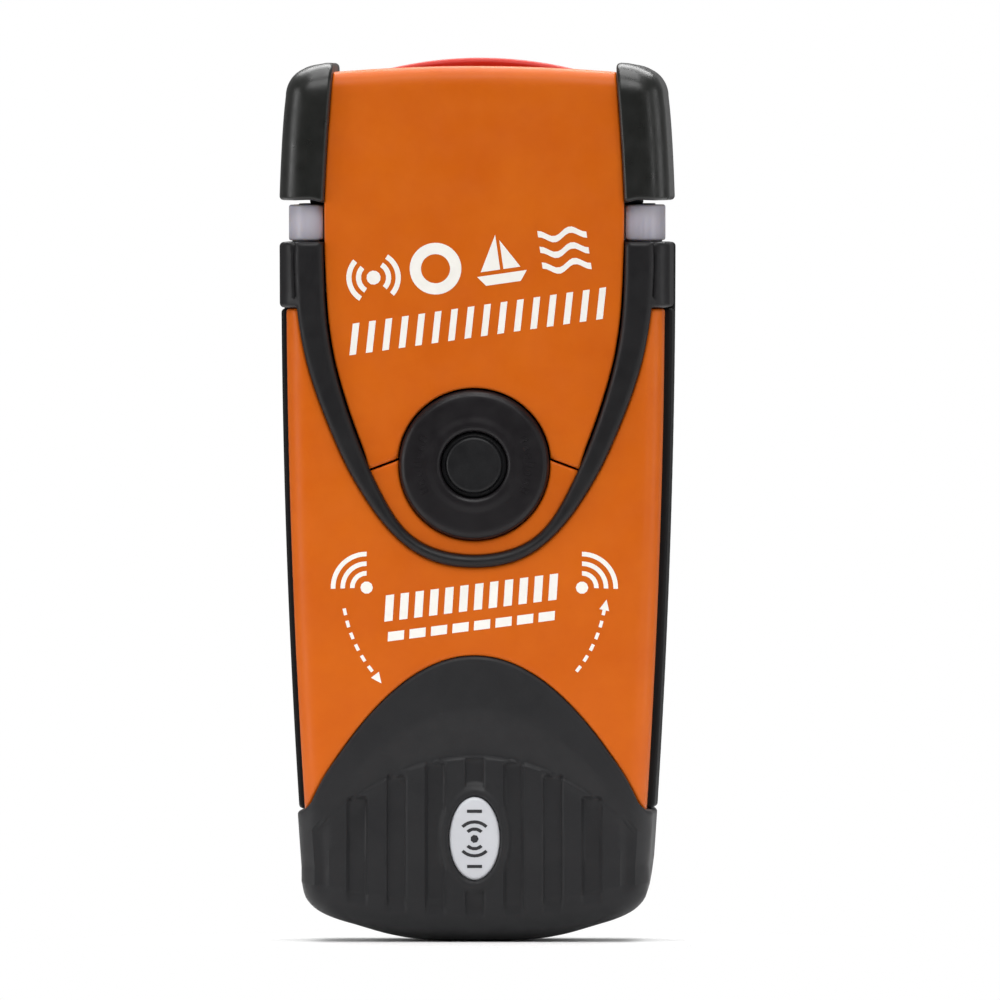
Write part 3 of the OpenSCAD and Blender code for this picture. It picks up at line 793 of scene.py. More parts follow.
trim_side = Side(-1, radius=3.2, crown=CROWN)
BEAD_HEIGHT = 0.45      # how far the U bead stands above the skin


def build_bumper():
    skin = trim_side
    inner = skin.on_skin(below(U_INNER, SHOULDER))
    outer = skin.on_skin(below(U_OUTER, 75.95))
    low_s = float(skin.s_of_y(SHOULDER_SPLIT, TRIM_LOW))
    top_s = float(skin.s_of_y(SHOULDER_SPLIT, SHOULDER))
    low_z = TRIM_LOW + 0.02
    outline = np.concatenate([
        [[outer[0, 0], low_z], [low_s, low_z], [top_s, SHOULDER], [inner[0, 0], SHOULDER]],
        inner,
        [[inner[-1, 0], SHOULDER], [-top_s, SHOULDER], [-low_s, low_z], [outer[-1, 0], low_z]],
        outer[::-1]])
    # the bead's outline runs on past the shoulder, so its ends stay open there
    past_top = 90.0
    bead_in = skin.on_skin(below(U_INNER, 84.5))
    bead_out = skin.on_skin(below(U_OUTER, 84.5))
    end_s = skin.s_of_x(U_OUTER[0, 0], 84.0)
    bead = np.concatenate([
        [[end_s, past_top]], bead_out, [[-end_s, past_top], [inner[-1, 0], past_top]],
        bead_in[::-1], [[inner[0, 0], past_top]]])
    on_shoulder = (U_OUTER[:, 1] > 76.2) & (U_OUTER[:, 1] < 83.8)
    creases = [skin.on_skin(U_OUTER[on_shoulder & (side * U_OUTER[:, 0] > 0)])
               for side in (1, -1)]
    flat, faces, loops = flat_patch(
        outline, radius=0.85, step=0.9, spacing=0.4, lines=creases,
        line_rings=(0.12, 0.3, 0.55, 0.85), rings=(0.06, 0.16, 0.32, 0.52, 0.76, 1.0))

    bead_edge = distance_to(flat, [bead_in, bead_out], closed=False)
    bead_drop = -BEAD_HEIGHT + rounding(bead_edge, 0.9) * 0.85
    base = 0.1 + rounding(distance_to(flat, loops), 0.55)
    limit = np.where(flat[:, 1] > TRIM_LOW, base + 0.6, 9.0)
    crease = np.maximum(0, 1 - distance_to(flat, creases, closed=False) / 0.3)
    drop = np.where(inside(flat, bead), np.minimum(bead_drop, limit), base + 0.22 * crease)
    # the free ends of the bead at the shoulder line are rounded too
    end_drop = rounding(np.maximum(SHOULDER - flat[:, 1], 0), 0.6)
    drop = np.maximum(drop, -BEAD_HEIGHT + end_drop)
    verts = skin.point(flat[:, 0], flat[:, 1])
    bumper = make_object("bumper_trim", *shell(verts, faces, drop, 2.0, FRONT), 50)
    finish_piece(bumper, "trim", "case", "black_trim", "bumper_frame")


build_bumper()


# ---------------------------------------------------------------- rubber foot

GROOVES = [0.0, 4.7, -4.7, 9.4, -9.4, 14.1, -14.1, 18.3, -18.3]     # x of each upright groove
BOOT_FLAT = 16.4                            # x reached by the evenly spaced front columns
BOOT_COLUMNS = np.arange(0, 16.6, 0.2)
BOOT_EDGE = np.array([0, 0.05, 0.14, 0.28, 0.45, 0.7])      # rows below the top edge
BOOT_HALF = 20.87                           # half width where the bottom rounding starts
BOTTOM_RADIUS = 6.3
# (|x|, z) of the underside
sole_rim = pchip([(0, 0), (4, 0.06), (7.6, 0.3), (10.9, 0.9), (13, 1.5), (14.6, 1.98),
                  (16.7, 2.7), (18.8, 3.9), (19.9, 5.1), (20.5, 6.3), (BOOT_HALF, 8.4)])


def boot_section(width, front, back, front_radius=3.2, back_radius=4.5, crown=CROWN):
    """Closed (x, y) loop from the front middle round by +X and the back."""
    slope = atan(2 * crown / max(width - front_radius, 0.5))
    face_end = width - front_radius * (1 - sin(slope))
    centre_x = face_end - front_radius * sin(slope)
    centre_y = -front + crown + front_radius * cos(slope)

    def on_face(x):
        return x, -front + crown * (x / face_end)**2
    columns = BOOT_COLUMNS * (min(BOOT_FLAT, face_end * 0.97) / BOOT_FLAT)
    last = columns[-1]
    points = [on_face(x) for x in columns]
    points += [on_face(last + (face_end - last) * k / 3) for k in range(1, 4)]
    for k in range(1, 8):
        angle = slope + (pi / 2 - slope) * k / 7
        points.append((centre_x + front_radius * sin(angle),
                       centre_y - front_radius * cos(angle)))
    y0, y1 = points[-1][1], back - back_radius
    points += [(width, y0 + (y1 - y0) * k / 12) for k in range(1, 13)]
    points += arc_points(width - back_radius, y1, back_radius,
                         [pi / 2 * k / 10 for k in range(1, 11)])
    points += [((width - back_radius) * (1 - k / 12), back) for k in range(1, 13)]
    half = np.array(points)
    return np.concatenate([half, mirrored(half[1:-1])])


def boot_top(section):
    """Height of the top edge, column by column, eased round the side corners."""
    x, y = section[:, 0], section[:, 1]
    top = np.maximum(np.where(y < SPLIT, foot_front(x), foot_rear(x)), FOOT_SIDE)
    top = np.where(np.abs(x) > 20.6, FOOT_SIDE, top)
    for _ in range(3):
        eased = 0.25 * np.roll(top, 1) + 0.5 * top + 0.25 * np.roll(top, -1)
        top = np.where(np.abs(x) > 19.8, eased, top)
    return top


def sole(section):
    front_rise = 0.012 * np.maximum(0, -section[:, 1] - 4)**2
    return sole_rim(np.abs(section[:, 0])) + front_rise


def boot_rows():
    """Grid of points: wall rows from the top edge down, bottom rounding, then sole."""
    low = boot_section(float(half_width(9)), 14.0, 16.6)
    top = boot_top(boot_section(float(half_width(18)), 14.6, 17.0))
    inner = boot_section(20.86 - BOTTOM_RADIUS, 14.0 - 4.8, 16.6 - 9.0, 1.2, 1.5, 0.35)
    sole_z = sole(inner)
    rise = (BOTTOM_RADIUS - 1.5 * smooth01((-low[:, 1] - 2) / 12)
            + 2.4 * smooth01((low[:, 1] + 2) / 18.6)**2)
    start = top - BOOT_EDGE[-1]
    wall_z = [top - edge for edge in BOOT_EDGE]
    wall_z += [start + (sole_z + rise - start) * t for t in np.linspace(0, 1, 110)[1:]]

    # wall rows, interpolated between sections at fixed levels
    levels = np.linspace(9.0, 35.0, 27)
    sections = np.array([
        boot_section(float(half_width(z)), float(front_depth(z)),
                     REAR_DEPTH - 0.4 * max(0.0, (13 - z) / 4.0)**2) for z in levels])
    columns = np.arange(len(low))
    rows = []
    for z in wall_z:
        place = np.clip((z - levels[0]) / (levels[1] - levels[0]), 0, len(levels) - 1.001)
        level = place.astype(int)
        t = (place - level)[:, None]
        xy = sections[level, columns] * (1 - t) + sections[level + 1, columns] * t
        rows.append(np.c_[xy, z])

    wall = rows[-1][:, :2]
    rim_x = BOOT_HALF - BOTTOM_RADIUS
    rim_rise = float(sole_rim(BOOT_HALF) - sole_rim(rim_x))
    for angle in np.linspace(0, np.pi / 2, 17)[1:]:
        part = float(sole_rim(rim_x + BOTTOM_RADIUS * cos(angle)) - sole_rim(rim_x)) / rim_rise
        rows.append(np.c_[inner + (wall - inner) * cos(angle), sole_z + rise * part])
    for t in np.linspace(1, 0, 13)[1:]:
        xy = inner * t + np.array([[0, -2.0]]) * (1 - t)
        rows.append(np.c_[xy, sole(xy)])
    return np.array(rows)


def boot_relief(x, y, z):
    """Depth of the surface features: scoop, grooves, badge pocket and lanyard recess."""
    front = (y < -8).astype(float)
    groove_top = 22.2 - 0.0233 * x * x
    hollow = (smooth01((28.4 - 0.036 * x * x - z) / 6.2)
              * smooth01((z - groove_top + 8.5) / 8.0)
              * smooth01((18.6 - np.abs(x)) / 5.0) * front)
    scoop = hollow * (1.15 - 0.45 * smooth01((groove_top + 0.2 - z) / 0.5))
    scoop = scoop + (0.25 * smooth01(1 - (foot_front(x) - z) / 6.5)
                     * smooth01((18.6 - np.abs(x)) / 4.0) * front)

    groove = np.zeros(len(x))
    for centre in GROOVES:
        half = 1.16 if abs(centre) < 18 else 0.7
        across = smooth01((half + 0.12 - np.abs(x - centre)) / 0.32)
        lean = 0.06 * np.maximum(0, np.abs(x) - np.abs(centre)) if abs(centre) > 12 else 0
        top = 22.15 - 0.0233 * centre * centre - lean
        bottom = 2.7 + 0.009 * centre * centre
        groove = np.maximum(groove, across * smooth01((top - z) / 0.45)
                            * smooth01((z - bottom) / 1.2))

    def from_oval(half_x, half_z, scale):
        return (np.sqrt((x / half_x)**2 + ((z - BADGE_Z) / half_z)**2) - 1) * scale
    groove *= smooth01(from_oval(3.95, 5.95, 4.6) / 0.7)
    relief = 0.5 * groove * front + scoop
    # raised lip round the badge, and a flat-bottomed pocket for it
    pocket = from_oval(3.12, 5.07, 3.8)
    lip = 0.16 * np.exp(-((pocket - 0.42) / 0.3)**2)
    relief = np.where(front > 0, relief - lip + 0.55 * smooth01((0.02 - pocket) / 0.12), relief)
    # recess that keeps the lanyard eye open
    return relief + (2.6 * smooth01((3.3 - np.abs(x)) / 0.5) * smooth01((y - 9.3) / 1.2)
                     * smooth01((7.4 - z) / 1.0))


def build_boot():
    grid = boot_rows()
    rows, columns = grid.shape[:2]
    verts = grid.reshape(-1, 3)
    faces = grid_faces(rows, columns, wrap_columns=True)
    below_edge = np.repeat(np.array([*BOOT_EDGE] + [9.0] * (rows - len(BOOT_EDGE))), columns)
    drop = rounding(below_edge, 0.55) + boot_relief(verts[:, 0], verts[:, 1], verts[:, 2])
    boot = make_object("foot_boot", *grid_shell(verts, faces, drop, 1.8), 45)
    finish_piece(boot, "boot", "case", "boot_rubber", "lower_boot")


build_boot()


# ---------------------------------------------------------------- badge

badge_face = front_face(0.02)


def build_badge():
    angles = full_turn(72)
    oval = np.c_[3.05 * np.cos(angles), BADGE_Z + 5.0 * np.sin(angles)]
    badge = patch_solid("foot_badge", badge_face, oval, radius=0.45, step=0.7, spacing=0.35,
                        thick=0.75)
    finish_piece(badge, "badge", "case", "badge_grey", "boot_badge")


build_badge()


# ---------------------------------------------------------------- crescent under the button

def build_surround():
    trim = below(shift(U_INNER, 0.05, closed=False), 56.45)
    angles = np.linspace(radians(4.0), radians(-184.0), 90)
    arc = np.c_[9.1 * np.cos(angles), BUTTON_Z + 9.1 * np.sin(angles)]
    outline = np.concatenate([trim, [[-12.42, 56.5]], [[-9.12, 57.72]], arc[::-1][1:-1],
                              [[9.12, 57.72]], [[12.42, 56.5]]])
    lip = patch_solid("button_surround_lip", front_face(0.45), outline, radius=0.3, step=0.8,
                      spacing=0.4, thick=1.8)
    finish_piece(lip, "orange", "case", "orange_shell", "button_surround")


build_surround()


# ---------------------------------------------------------------- cap plate

CAP_RADIUS = 2.0        # rounding from the front of the plate onto its top
CAP_TOP_DEPTH = 16.05   # y distance of the front face at the top
CAP_BACK = 7.4          # y of the back edge
# (z, half width) of the tongue and plate
tongue_half = pchip([
    (56.0, 12.4), (58.8, 13.22), (61.2, 14.1), (63.6, 14.95), (66, 15.7), (68.4, 16.38),
    (70.7, 16.9), (75.5, 17.55), (80, 17.82), (84, 17.95), (88, 17.98), (90, 17.92),
    (95, 17.66), (100, 17.32), (106, 16.85)])


def cap_top(x):
    return 104.95 - 0.7 * (np.asarray(x, float) / 16.8)**2


def cap_front(z):
    z = np.asarray(z, float)
    return np.where(z < 86, front_depth(z) - 0.4, 16.3) - 0.25 * smooth01((z - 92) / 12)


def cap_point(x, t):
    """Point of the plate; t runs up the front, over the edge and back along the top."""
    x, t = np.broadcast_arrays(np.asarray(x, float), np.asarray(t, float))
    bend = cap_top(x) - CAP_RADIUS
    depth = cap_front(np.minimum(t, bend)) - CROWN * (x / CROWN_HALF)**2
    angle = np.clip((t - bend) / CAP_RADIUS, 0, np.pi / 2)
    on_top = np.maximum(t - bend - CAP_RADIUS * np.pi / 2, 0)
    y = -depth + CAP_RADIUS * (1 - np.cos(angle)) + on_top
    z = np.where(t < bend, t, bend + CAP_RADIUS * np.sin(angle)) - 0.004 * on_top
    return np.stack([x, y, z], axis=-1)


def cap_back_edge(x):
    """t of the back edge."""
    return (cap_top(x) - CAP_RADIUS + CAP_RADIUS * np.pi / 2 + CAP_BACK + CAP_TOP_DEPTH
            - CAP_RADIUS - CROWN * (x / CROWN_HALF)**2)


def build_cap_plate():
    zs = np.linspace(56.62, 103.0, 130)
    right = np.c_[tongue_half(zs), zs]
    top_x = float(tongue_half(104.0))
    top = [[top_x, t] for t in np.linspace(103.6, float(cap_back_edge(top_x)), 24)]
    xs = np.linspace(top_x, -top_x, 30)
    angles = np.linspace(radians(175.0), radians(5.0), 110)
    notch = np.c_[9.2 * np.cos(angles), BUTTON_Z + 9.2 * np.sin(angles)]
    outline = np.concatenate([
        notch, [[9.24, 57.95], [12.5, 56.72]], right, top, np.c_[xs, cap_back_edge(xs)],
        mirrored(top), mirrored(right), [[-12.5, 56.72], [-9.24, 57.95]]])
    plate = patch_solid("cap_tongue_plate", cap_point, outline, radius=0.32)
    finish_piece(plate, "orange", "cap", "orange_shell", "cap_plate")


build_cap_plate()


# ---------------------------------------------------------------- cap side grips

GRIP_BOTTOM = 88.9
GRIP_BEND = 101.3       # where the upright side starts to round over
GRIP_RADIUS = 3.3
GRIP_TOP = 104.85
GRIP_EDGE = np.array([0, 0.04, 0.12, 0.25, 0.42, 0.65])     # point rows in from an edge
grip_width = pchip([(88, 23.42), (88.9, 23.4), (95, 23.15), (99.4, 22.85), (101.3, 22.65)])


def grip_edge(z):
    """x of the inner edge."""
    return cap_edge(z) + 0.27


def grip_section(z, inner, width, front, back, radius, crown):
    """Open row of points from the inner front edge round +X to the inner back edge."""
    corner = width - radius

    def front_y(x):
        return -front + crown * (x / 22.0)**2
    lead = np.minimum(GRIP_EDGE, (corner - inner) * np.linspace(0, 0.8, len(GRIP_EDGE)))
    xs = [*(inner + lead), *np.linspace(inner + lead[-1], corner, 6)[1:]]
    points = [(x, front_y(x)) for x in xs]
    corner_y = front_y(corner)
    for k in range(1, 11):
        angle = pi / 2 * k / 10
        points.append((corner + radius * sin(angle), corner_y + radius * (1 - cos(angle))))
    y0, y1 = corner_y + radius, back - radius
    points += [(width, y0 + (y1 - y0) * k / 14) for k in range(1, 15)]
    points += arc_points(corner, y1, radius, [pi / 2 * k / 10 for k in range(1, 11)])
    xs = [*np.linspace(corner, inner + lead[-1], 6)[1:], *(inner + lead[::-1][1:])]
    points += [(x, back) for x in xs]
    return [(x, y, z) for x, y in points]


def grip_rows():
    """Upright side, rounding over the top, then the flat top in to the plate."""
    rows = []
    upright = np.linspace(GRIP_BOTTOM + GRIP_EDGE[-1], GRIP_BEND, 16)[1:]
    for z in [*(GRIP_BOTTOM + GRIP_EDGE), *upright]:
        rows.append(grip_section(z, float(grip_edge(z)), float(grip_width(z)), 17.0, 16.6,
                                 GRIP_RADIUS, 0.55))
    for angle in np.linspace(0, np.pi / 2, 13)[1:]:
        out = cos(angle)
        z = GRIP_BEND + 3.55 * sin(angle)
        rows.append(grip_section(z, float(grip_edge(z)), 19.35 + GRIP_RADIUS * out,
                                 12.5 + 4.5 * out, 12.1 + 4.5 * out,
                                 GRIP_RADIUS - 2.3 * (1 - out), 0.55 * out))
    inner = float(grip_edge(GRIP_TOP))
    gap = 19.35 - inner
    for reach in [*np.linspace(gap, GRIP_EDGE[-1], 6)[1:], *GRIP_EDGE[::-1][1:]]:
        inset = (gap - reach) * 0.9
        rows.append(grip_section(GRIP_TOP + 0.03 * (1 - reach / gap), inner, inner + reach,
                                 12.5 - inset, 12.1 - inset,
                                 max(0.0, min(1.0, reach * 0.6)), 0.0))
    return np.array(rows)


def merge_points(verts, faces):
    """Merges coincident points and drops the faces that collapse."""
    seen, index, keep = {}, [], []
    for i, point in enumerate(np.round(verts, 4)):
        key = tuple(point)
        if key not in seen:
            seen[key] = len(keep)
            keep.append(i)
        index.append(seen[key])
    merged = [tuple(dict.fromkeys(index[i] for i in f)) for f in faces]
    return verts[keep], [f for f in merged if len(f) >= 3]


def build_grip(side, name, node):
    grid = grip_rows()
    verts = grid.reshape(-1, 3)

    # slightly longer skirt at the inner front corner
    def skirt():
        return smooth01((19.6 - verts[:, 0]) / 1.6) * smooth01((-12 - verts[:, 1]) / 3)
    verts[:, 2] -= 0.32 * (skirt() * np.clip((92 - verts[:, 2]) / 3.1, 0, 1))
    # collapsed points would spoil the normals
    verts, faces = merge_points(verts, grid_faces(*grid.shape[:2]))
    edge_radius = 0.5
    from_inner = np.clip(edge_radius - (verts[:, 0] - grip_edge(verts[:, 2])), 0, edge_radius)
    height = verts[:, 2] - GRIP_BOTTOM + 0.32 * skirt()
    from_bottom = np.clip(edge_radius - height, 0, edge_radius)
    drop = edge_radius - np.sqrt(np.maximum(
        edge_radius * edge_radius - from_inner**2 - from_bottom**2, 0))
    # the top rises a little toward the plate
    verts[:, 2] += (0.48 * np.clip((20.6 - verts[:, 0]) / 2.8, 0, 1)
                    * smooth01((verts[:, 2] - 100) / 4.5))
    if side < 0:
        verts = verts * [-1, 1, 1]
        faces = [f[::-1] for f in faces]
    grip = make_object(name, *grid_shell(verts, faces, drop, 1.9), 45)
    finish_piece(grip, "grip", "cap", "grip_rubber", node)


build_grip(1, "cap_grip_pad_right", "cap_grip_right")
build_grip(-1, "cap_grip_pad_left", "cap_grip_left")


# ---------------------------------------------------------------- button and bezel

# closed (radius, y) section
BEZEL_PROFILE = [
    (4.0, -11.0), (4.0, -16.75), (4.35, -17.1), (5.0, -17.1), (5.75, -16.94), (7.9, -16.8),
    (8.35, -16.72), (8.8, -16.35), (9.0, -15.8), (9.0, -13.95), (5.4, -13.95), (5.4, -11.0)]
# (radius, y) from the middle of the front face to the middle of the back
BUTTON_PROFILE = [
    (0, -16.95), (1.6, -16.97), (2.7, -17.0), (3.1, -17.0), (3.35, -16.8), (3.4, -16.4),
    (3.94, -16.2), (3.94, -13.0), (1.6, -13.0), (1.6, -9.4), (0, -9.4)]


def build_bezel():
    parts = [revolve(soften(BEZEL_PROFILE, 0.22), 0, BUTTON_Z, 128)]
    # raised radial ticks each side
    for start in (0, 180):
        for k in range(-3, 4):
            angle = radians(start + k * 9)
            out = np.array([cos(angle), sin(angle)])
            across = np.array([-sin(angle), cos(angle)]) * 0.24
            near, far = 6.15, 7.3 if k % 3 == 0 else 6.95
            tick = np.array([out * near - across, out * far - across, out * far + across,
                             out * near + across]) + [0, BUTTON_Z]
            parts.append(patch_mesh(plane(1, -16.98), tick, radius=0.08, spacing=0.4,
                                    thick=0.35, rings=(0.5, 1.0)))
    bezel = join_parts("button_bezel_ring", parts, 35)
    finish_piece(bezel, "bezel", "case", "bezel_black", "button_bezel")


def build_button():
    mesh = revolve(soften(BUTTON_PROFILE, 0.16), 0, BUTTON_Z, closed=False)
    button = make_object("test_button_cap", *mesh, 35)
    finish_piece(button, "button", "button", "button_rubber", "test_button")


build_bezel()
build_button()


# ---------------------------------------------------------------- neck diffuser band

NECK_WIDTH, NECK_FRONT, NECK_BACK, NECK_CORNER = 22.3, -15.0, 14.6, 3.0


def neck_outline(inset):
    """(x, y) band: two arms joined by a front rail, drawn in by inset."""
    radius, rail = NECK_CORNER - inset, -13.4 + inset * 0.3
    corner_x = NECK_WIDTH - NECK_CORNER
    back_x = 17.55 + inset * 0.3

    def arc(x, y, size, start, end, count):
        return arc_points(x, y, size, np.radians(np.linspace(start, end, count)))
    right = np.array([
        (0, rail), (18.15 + inset, rail), (18.15 + inset, -14.8 + inset),
        *arc(corner_x, NECK_FRONT + NECK_CORNER, radius, -90, 0, 9),
        *arc(corner_x, NECK_BACK - NECK_CORNER, radius, 0, 90, 9),
        (back_x, NECK_BACK - inset), (back_x, 7.6), (17.9 + inset * 0.3, 7.2),
        *arc(15.9 + inset * 0.3, -10.1, 2.0, 0, -90, 6)])
    return np.concatenate([right, mirrored(right)[:-1]])


def build_neck_layer(name, top, inset, mat, slot, *replaces, **options):
    layer = patch_solid(name, plane(2, top), neck_outline(inset), outward=UP, **options)
    finish_piece(layer, mat, "case", slot, *replaces)


build_neck_layer("neck_diffuser", 88.35, 0.0, "diffuser", "diffuser", "neck_ring",
                 radius=0.3, step=1.5, spacing=0.6, thick=4.3, back_radius=0.3)
build_neck_layer("neck_seat", 84.12, 0.4, "seal", "black_trim",
                 radius=0.1, step=2.0, spacing=0.8, thick=0.5, back_radius=0.1)
build_neck_layer("neck_cap_seal", 88.5, 1.2, "seal", "black_trim",
                 radius=0.08, step=2.0, spacing=0.8, thick=0.4, back_radius=0.05)


# ---------------------------------------------------------------- antenna tab

TAB_GROOVES = (98, 100, 102)    # z of the cross grooves on the back


def build_tab():
    xs = np.linspace(12.7, -12.7, 90)
    outline = np.concatenate([[[-12.2, 95.15], [12.2, 95.15], [12.7, 95.6]],
                              np.c_[xs, 106.0 - 0.0108 * xs**2], [[-12.7, 95.6]]])
    outline = relax(resample(outline, 0.35), 3)

    def grooves(x, z):
        ends = smooth01((9.6 - np.abs(x)) / 1.4)
        depth = np.zeros_like(x)
        for centre in TAB_GROOVES:
            depth = np.maximum(depth, smooth01((0.62 - np.abs(z - centre)) / 0.45) * ends)
        return 0.45 * depth
    lines = [np.array([[-9.7, z], [9.7, z]]) for z in TAB_GROOVES]
    tab = patch_solid("antenna_pull_tab", plane(1, 16.9), outline, radius=0.6, step=0.8,
                      spacing=0.4, thick=6.9, outward=BACK, back_radius=0.6,
                      extra_drop=grooves, lines=lines)
    finish_piece(tab, "red", "upper_blade", "tab_red", "antenna_tab")


build_tab()


# ---------------------------------------------------------------- printed marks
# A mark is an (x, z) outline, or a tuple of an outline and its holes.

def ring_part(x, z, inner, outer, start, end, count=16):
    """Part of a ring between two angles in degrees."""
    angles = np.radians(np.linspace(start, end, count))
    return np.array(arc_points(x, z, outer, angles) + arc_points(x, z, inner, angles[::-1]))


def slanted(x, z0, z1, offsets):
    """Four-sided bar: two x offsets along z0, then two along z1."""
    return np.array([(x + dx, z) for dx, z in zip(offsets, (z0, z0, z1, z1))])


def frame_mark(x0, x1, z0, z1, width):
    return (rect(x0, x1, z0, z1), (rect(x0 + width, x1 - width, z0 + width, z1 - width),))


def arrow(x, z, length):
    """Upright arrow from (x, z); a negative length points it down."""
    neck = z + length - (1.5 if length > 0 else -1.5)
    return np.array([(x - 0.35, z), (x + 0.35, z), (x + 0.35, neck), (x + 1.2, neck),
                     (x, z + length), (x - 1.2, neck), (x - 0.35, neck)])


def outline_and_holes(mark):
    return mark if isinstance(mark, tuple) else (mark, ())


def moved(marks, move):
    return [(move(outer), tuple(move(hole) for hole in holes))
            for outer, holes in map(outline_and_holes, marks)]


def tilted(points, z, degs):
    """Points turned about (0, z)."""
    angle = radians(degs)
    x, up = (points - [0, z]).T
    return np.c_[x * cos(angle) - up * sin(angle), x * sin(angle) + up * cos(angle)] + [0, z]


def lifted(surface, distance):
    """Surface moved forward by a distance."""
    return lambda x, z: surface(x, z) + np.array([0, -distance, 0])


def printed(name, surface, marks, mat, body, slot, step=1.6, spacing=0.45, outward=FRONT):
    parts = [patch_mesh(surface, outer, holes, radius=0.0, step=step, spacing=spacing,
                        thick=0.05, outward=outward)
             for outer, holes in map(outline_and_holes, marks)]
    finish_piece(join_parts(name, parts, 60), mat, body, slot)


def tongue_marks():
    """Four signs over a row of slanted bars, on a rising line."""
    z = 81.3
    # dot between pairs of arcs
    marks = [disc(-11.4, z, 0.85)]
    marks += [ring_part(-11.4, z, inner, inner + 0.62, start, start + 100)
              for inner in (1.5, 2.65) for start in (-50, 130)]
    # ring
    marks.append((disc(-3.9, z, 3.1, 48), (disc(-3.9, z, 1.75, 36),)))
    # boat: hull and two sails, as offsets from the sign's middle
    boat = ([(-3.0, -1.7), (3.0, -1.7), (2.1, -2.9), (-2.1, -2.9)],
            [(-0.15, 3.0), (-0.15, -1.2), (-2.5, -1.2)],
            [(0.25, 2.3), (2.3, -1.2), (0.25, -1.2)])
    marks += [np.array(part) + [3.9, z] for part in boat]
    # three waves
    xs = np.linspace(-2.9, 2.9, 22)
    wave = 0.45 * np.sin(xs / 2.9 * np.pi * 1.5)
    for k in range(3):
        middle = z + 1.9 - 1.9 * k
        marks.append(np.concatenate([np.c_[11.7 + xs, middle + wave + 0.38],
                                     np.c_[11.7 + xs, middle + wave - 0.38][::-1]]))
    marks += [slanted(-15.6 + k * 1.99, 72.5, 76.2, (0, 0.8, 1.75, 0.95)) for k in range(16)]
    return moved(marks, lambda points: tilted(points, 76, 8.2))


def dashed_arc(side):
    """Six dashes and an arrowhead, at the lower end on the left and the upper on the right."""
    track = catmull([(side * 15.6, 40.0), (side * 15.1, 37.9), (side * 14.3, 35.8),
                     (side * 13.2, 33.8), (side * 11.8, 31.9)], 12)
    along = path_length(track)

    def at(part):
        return np.array([np.interp(along[-1] * part, along, track[:, k]) for k in (0, 1)])

    def directions(start, end):
        ahead = (end - start) / np.linalg.norm(end - start)
        return ahead, np.array([-ahead[1], ahead[0]])
    marks = []
    for k in range(6):
        start, end = at(k / 6.0), at(k / 6.0 + 0.09)
        across = directions(start, end)[1] * 0.2
        marks.append(np.array([start - across, end - across, end + across, start + across]))
    tip, before = (track[-1], track[-4]) if side < 0 else (track[0], track[3])
    ahead, across = directions(before, tip)
    marks.append(np.array([tip - across * 0.6 - ahead * 0.2, tip + ahead * 1.1,
                           tip + across * 0.6 - ahead * 0.2]))
    return marks


def panel_marks():
    """A dashed arc and a signal sign each side, with slanted bars between."""
    marks = []
    for side in (-1, 1):
        x, z = side * 12.9, 42.5
        start, end = (90, 182) if side < 0 else (-2, 90)
        marks += dashed_arc(side) + [disc(x, z, 0.75)]
        marks += [ring_part(x, z, inner, inner + 0.55, start, end)
                  for inner in (1.45, 2.6, 3.75)]
    bars = [slanted(-10.9 + k * 1.8, 39.8, 42.9, (0, 1.0, 1.6, 0.6)) for k in range(12)]
    bars += [slanted(-10.6 + k * 2.6, 37.4, 38.5, (-0.2, 1.75, 1.95, 0)) for k in range(8)]
    return marks + [tilted(bar, 40, 7.3) for bar in bars]


def back_marks():
    """Three plain step signs, rows of rules and a framed box, as read from behind."""
    marks = []
    for x in (-8.9, 0.0, 8.9):
        marks.append(frame_mark(x - 3.9, x + 3.9, 60.5, 75.5, 0.3))
        marks.append(frame_mark(x - 1.7, x + 1.7, 62.0, 69.0, 0.35))
    marks += [arrow(8.9, 69.6, 4.6), rect(7.2, 10.6, 69.2, 69.5)]
    marks += [rect(-0.25, 0.25, 69.0, 74.6), arrow(2.3, 70.0, 4.2)]
    marks += [disc(-8.9, 66.3, 0.6), arrow(-8.9, 74.4, -4.6)]
    marks += [rect(-12.6, 12.6 - 3.5 * (k % 3), 56.6 - 2.1 * k, 57.3 - 2.1 * k)
              for k in range(6)]
    marks.append(frame_mark(-12.6, 12.6, 32.0, 42.6, 0.35))
    marks += [rect(-11.0, 11.0, 39.6 - 2.6 * k, 39.85 - 2.6 * k) for k in range(3)]
    return moved(marks, lambda points: points * [-1, 1])


def badge_marks():
    """Dot between pairs of arcs, with a short bar above and below."""
    marks = [disc(0, BADGE_Z, 0.5)]
    marks += [ring_part(0, BADGE_Z, inner, inner + 0.38, start, start + 90, 14)
              for inner in (1.0, 1.85) for start in (45, 225)]
    return marks + [rect(-0.9, 0.9, z, z + 0.38) for z in (8.9, 15.52)]


printed("tongue_print", lifted(cap_point, 0.035), tongue_marks(), "print", "cap",
        "orange_shell")
printed("panel_print", lifted(front_side.point, 0.035), panel_marks(), "print", "case",
        "orange_shell")
printed("back_print", plane(1, 16.985), back_marks(), "ink", "case", "label_plate",
        step=2.5, spacing=0.6, outward=BACK)
printed("badge_print", lifted(badge_face, 0.03), badge_marks(), "ink", "case", "badge_grey")


# ---------------------------------------------------------------- carried-over nodes

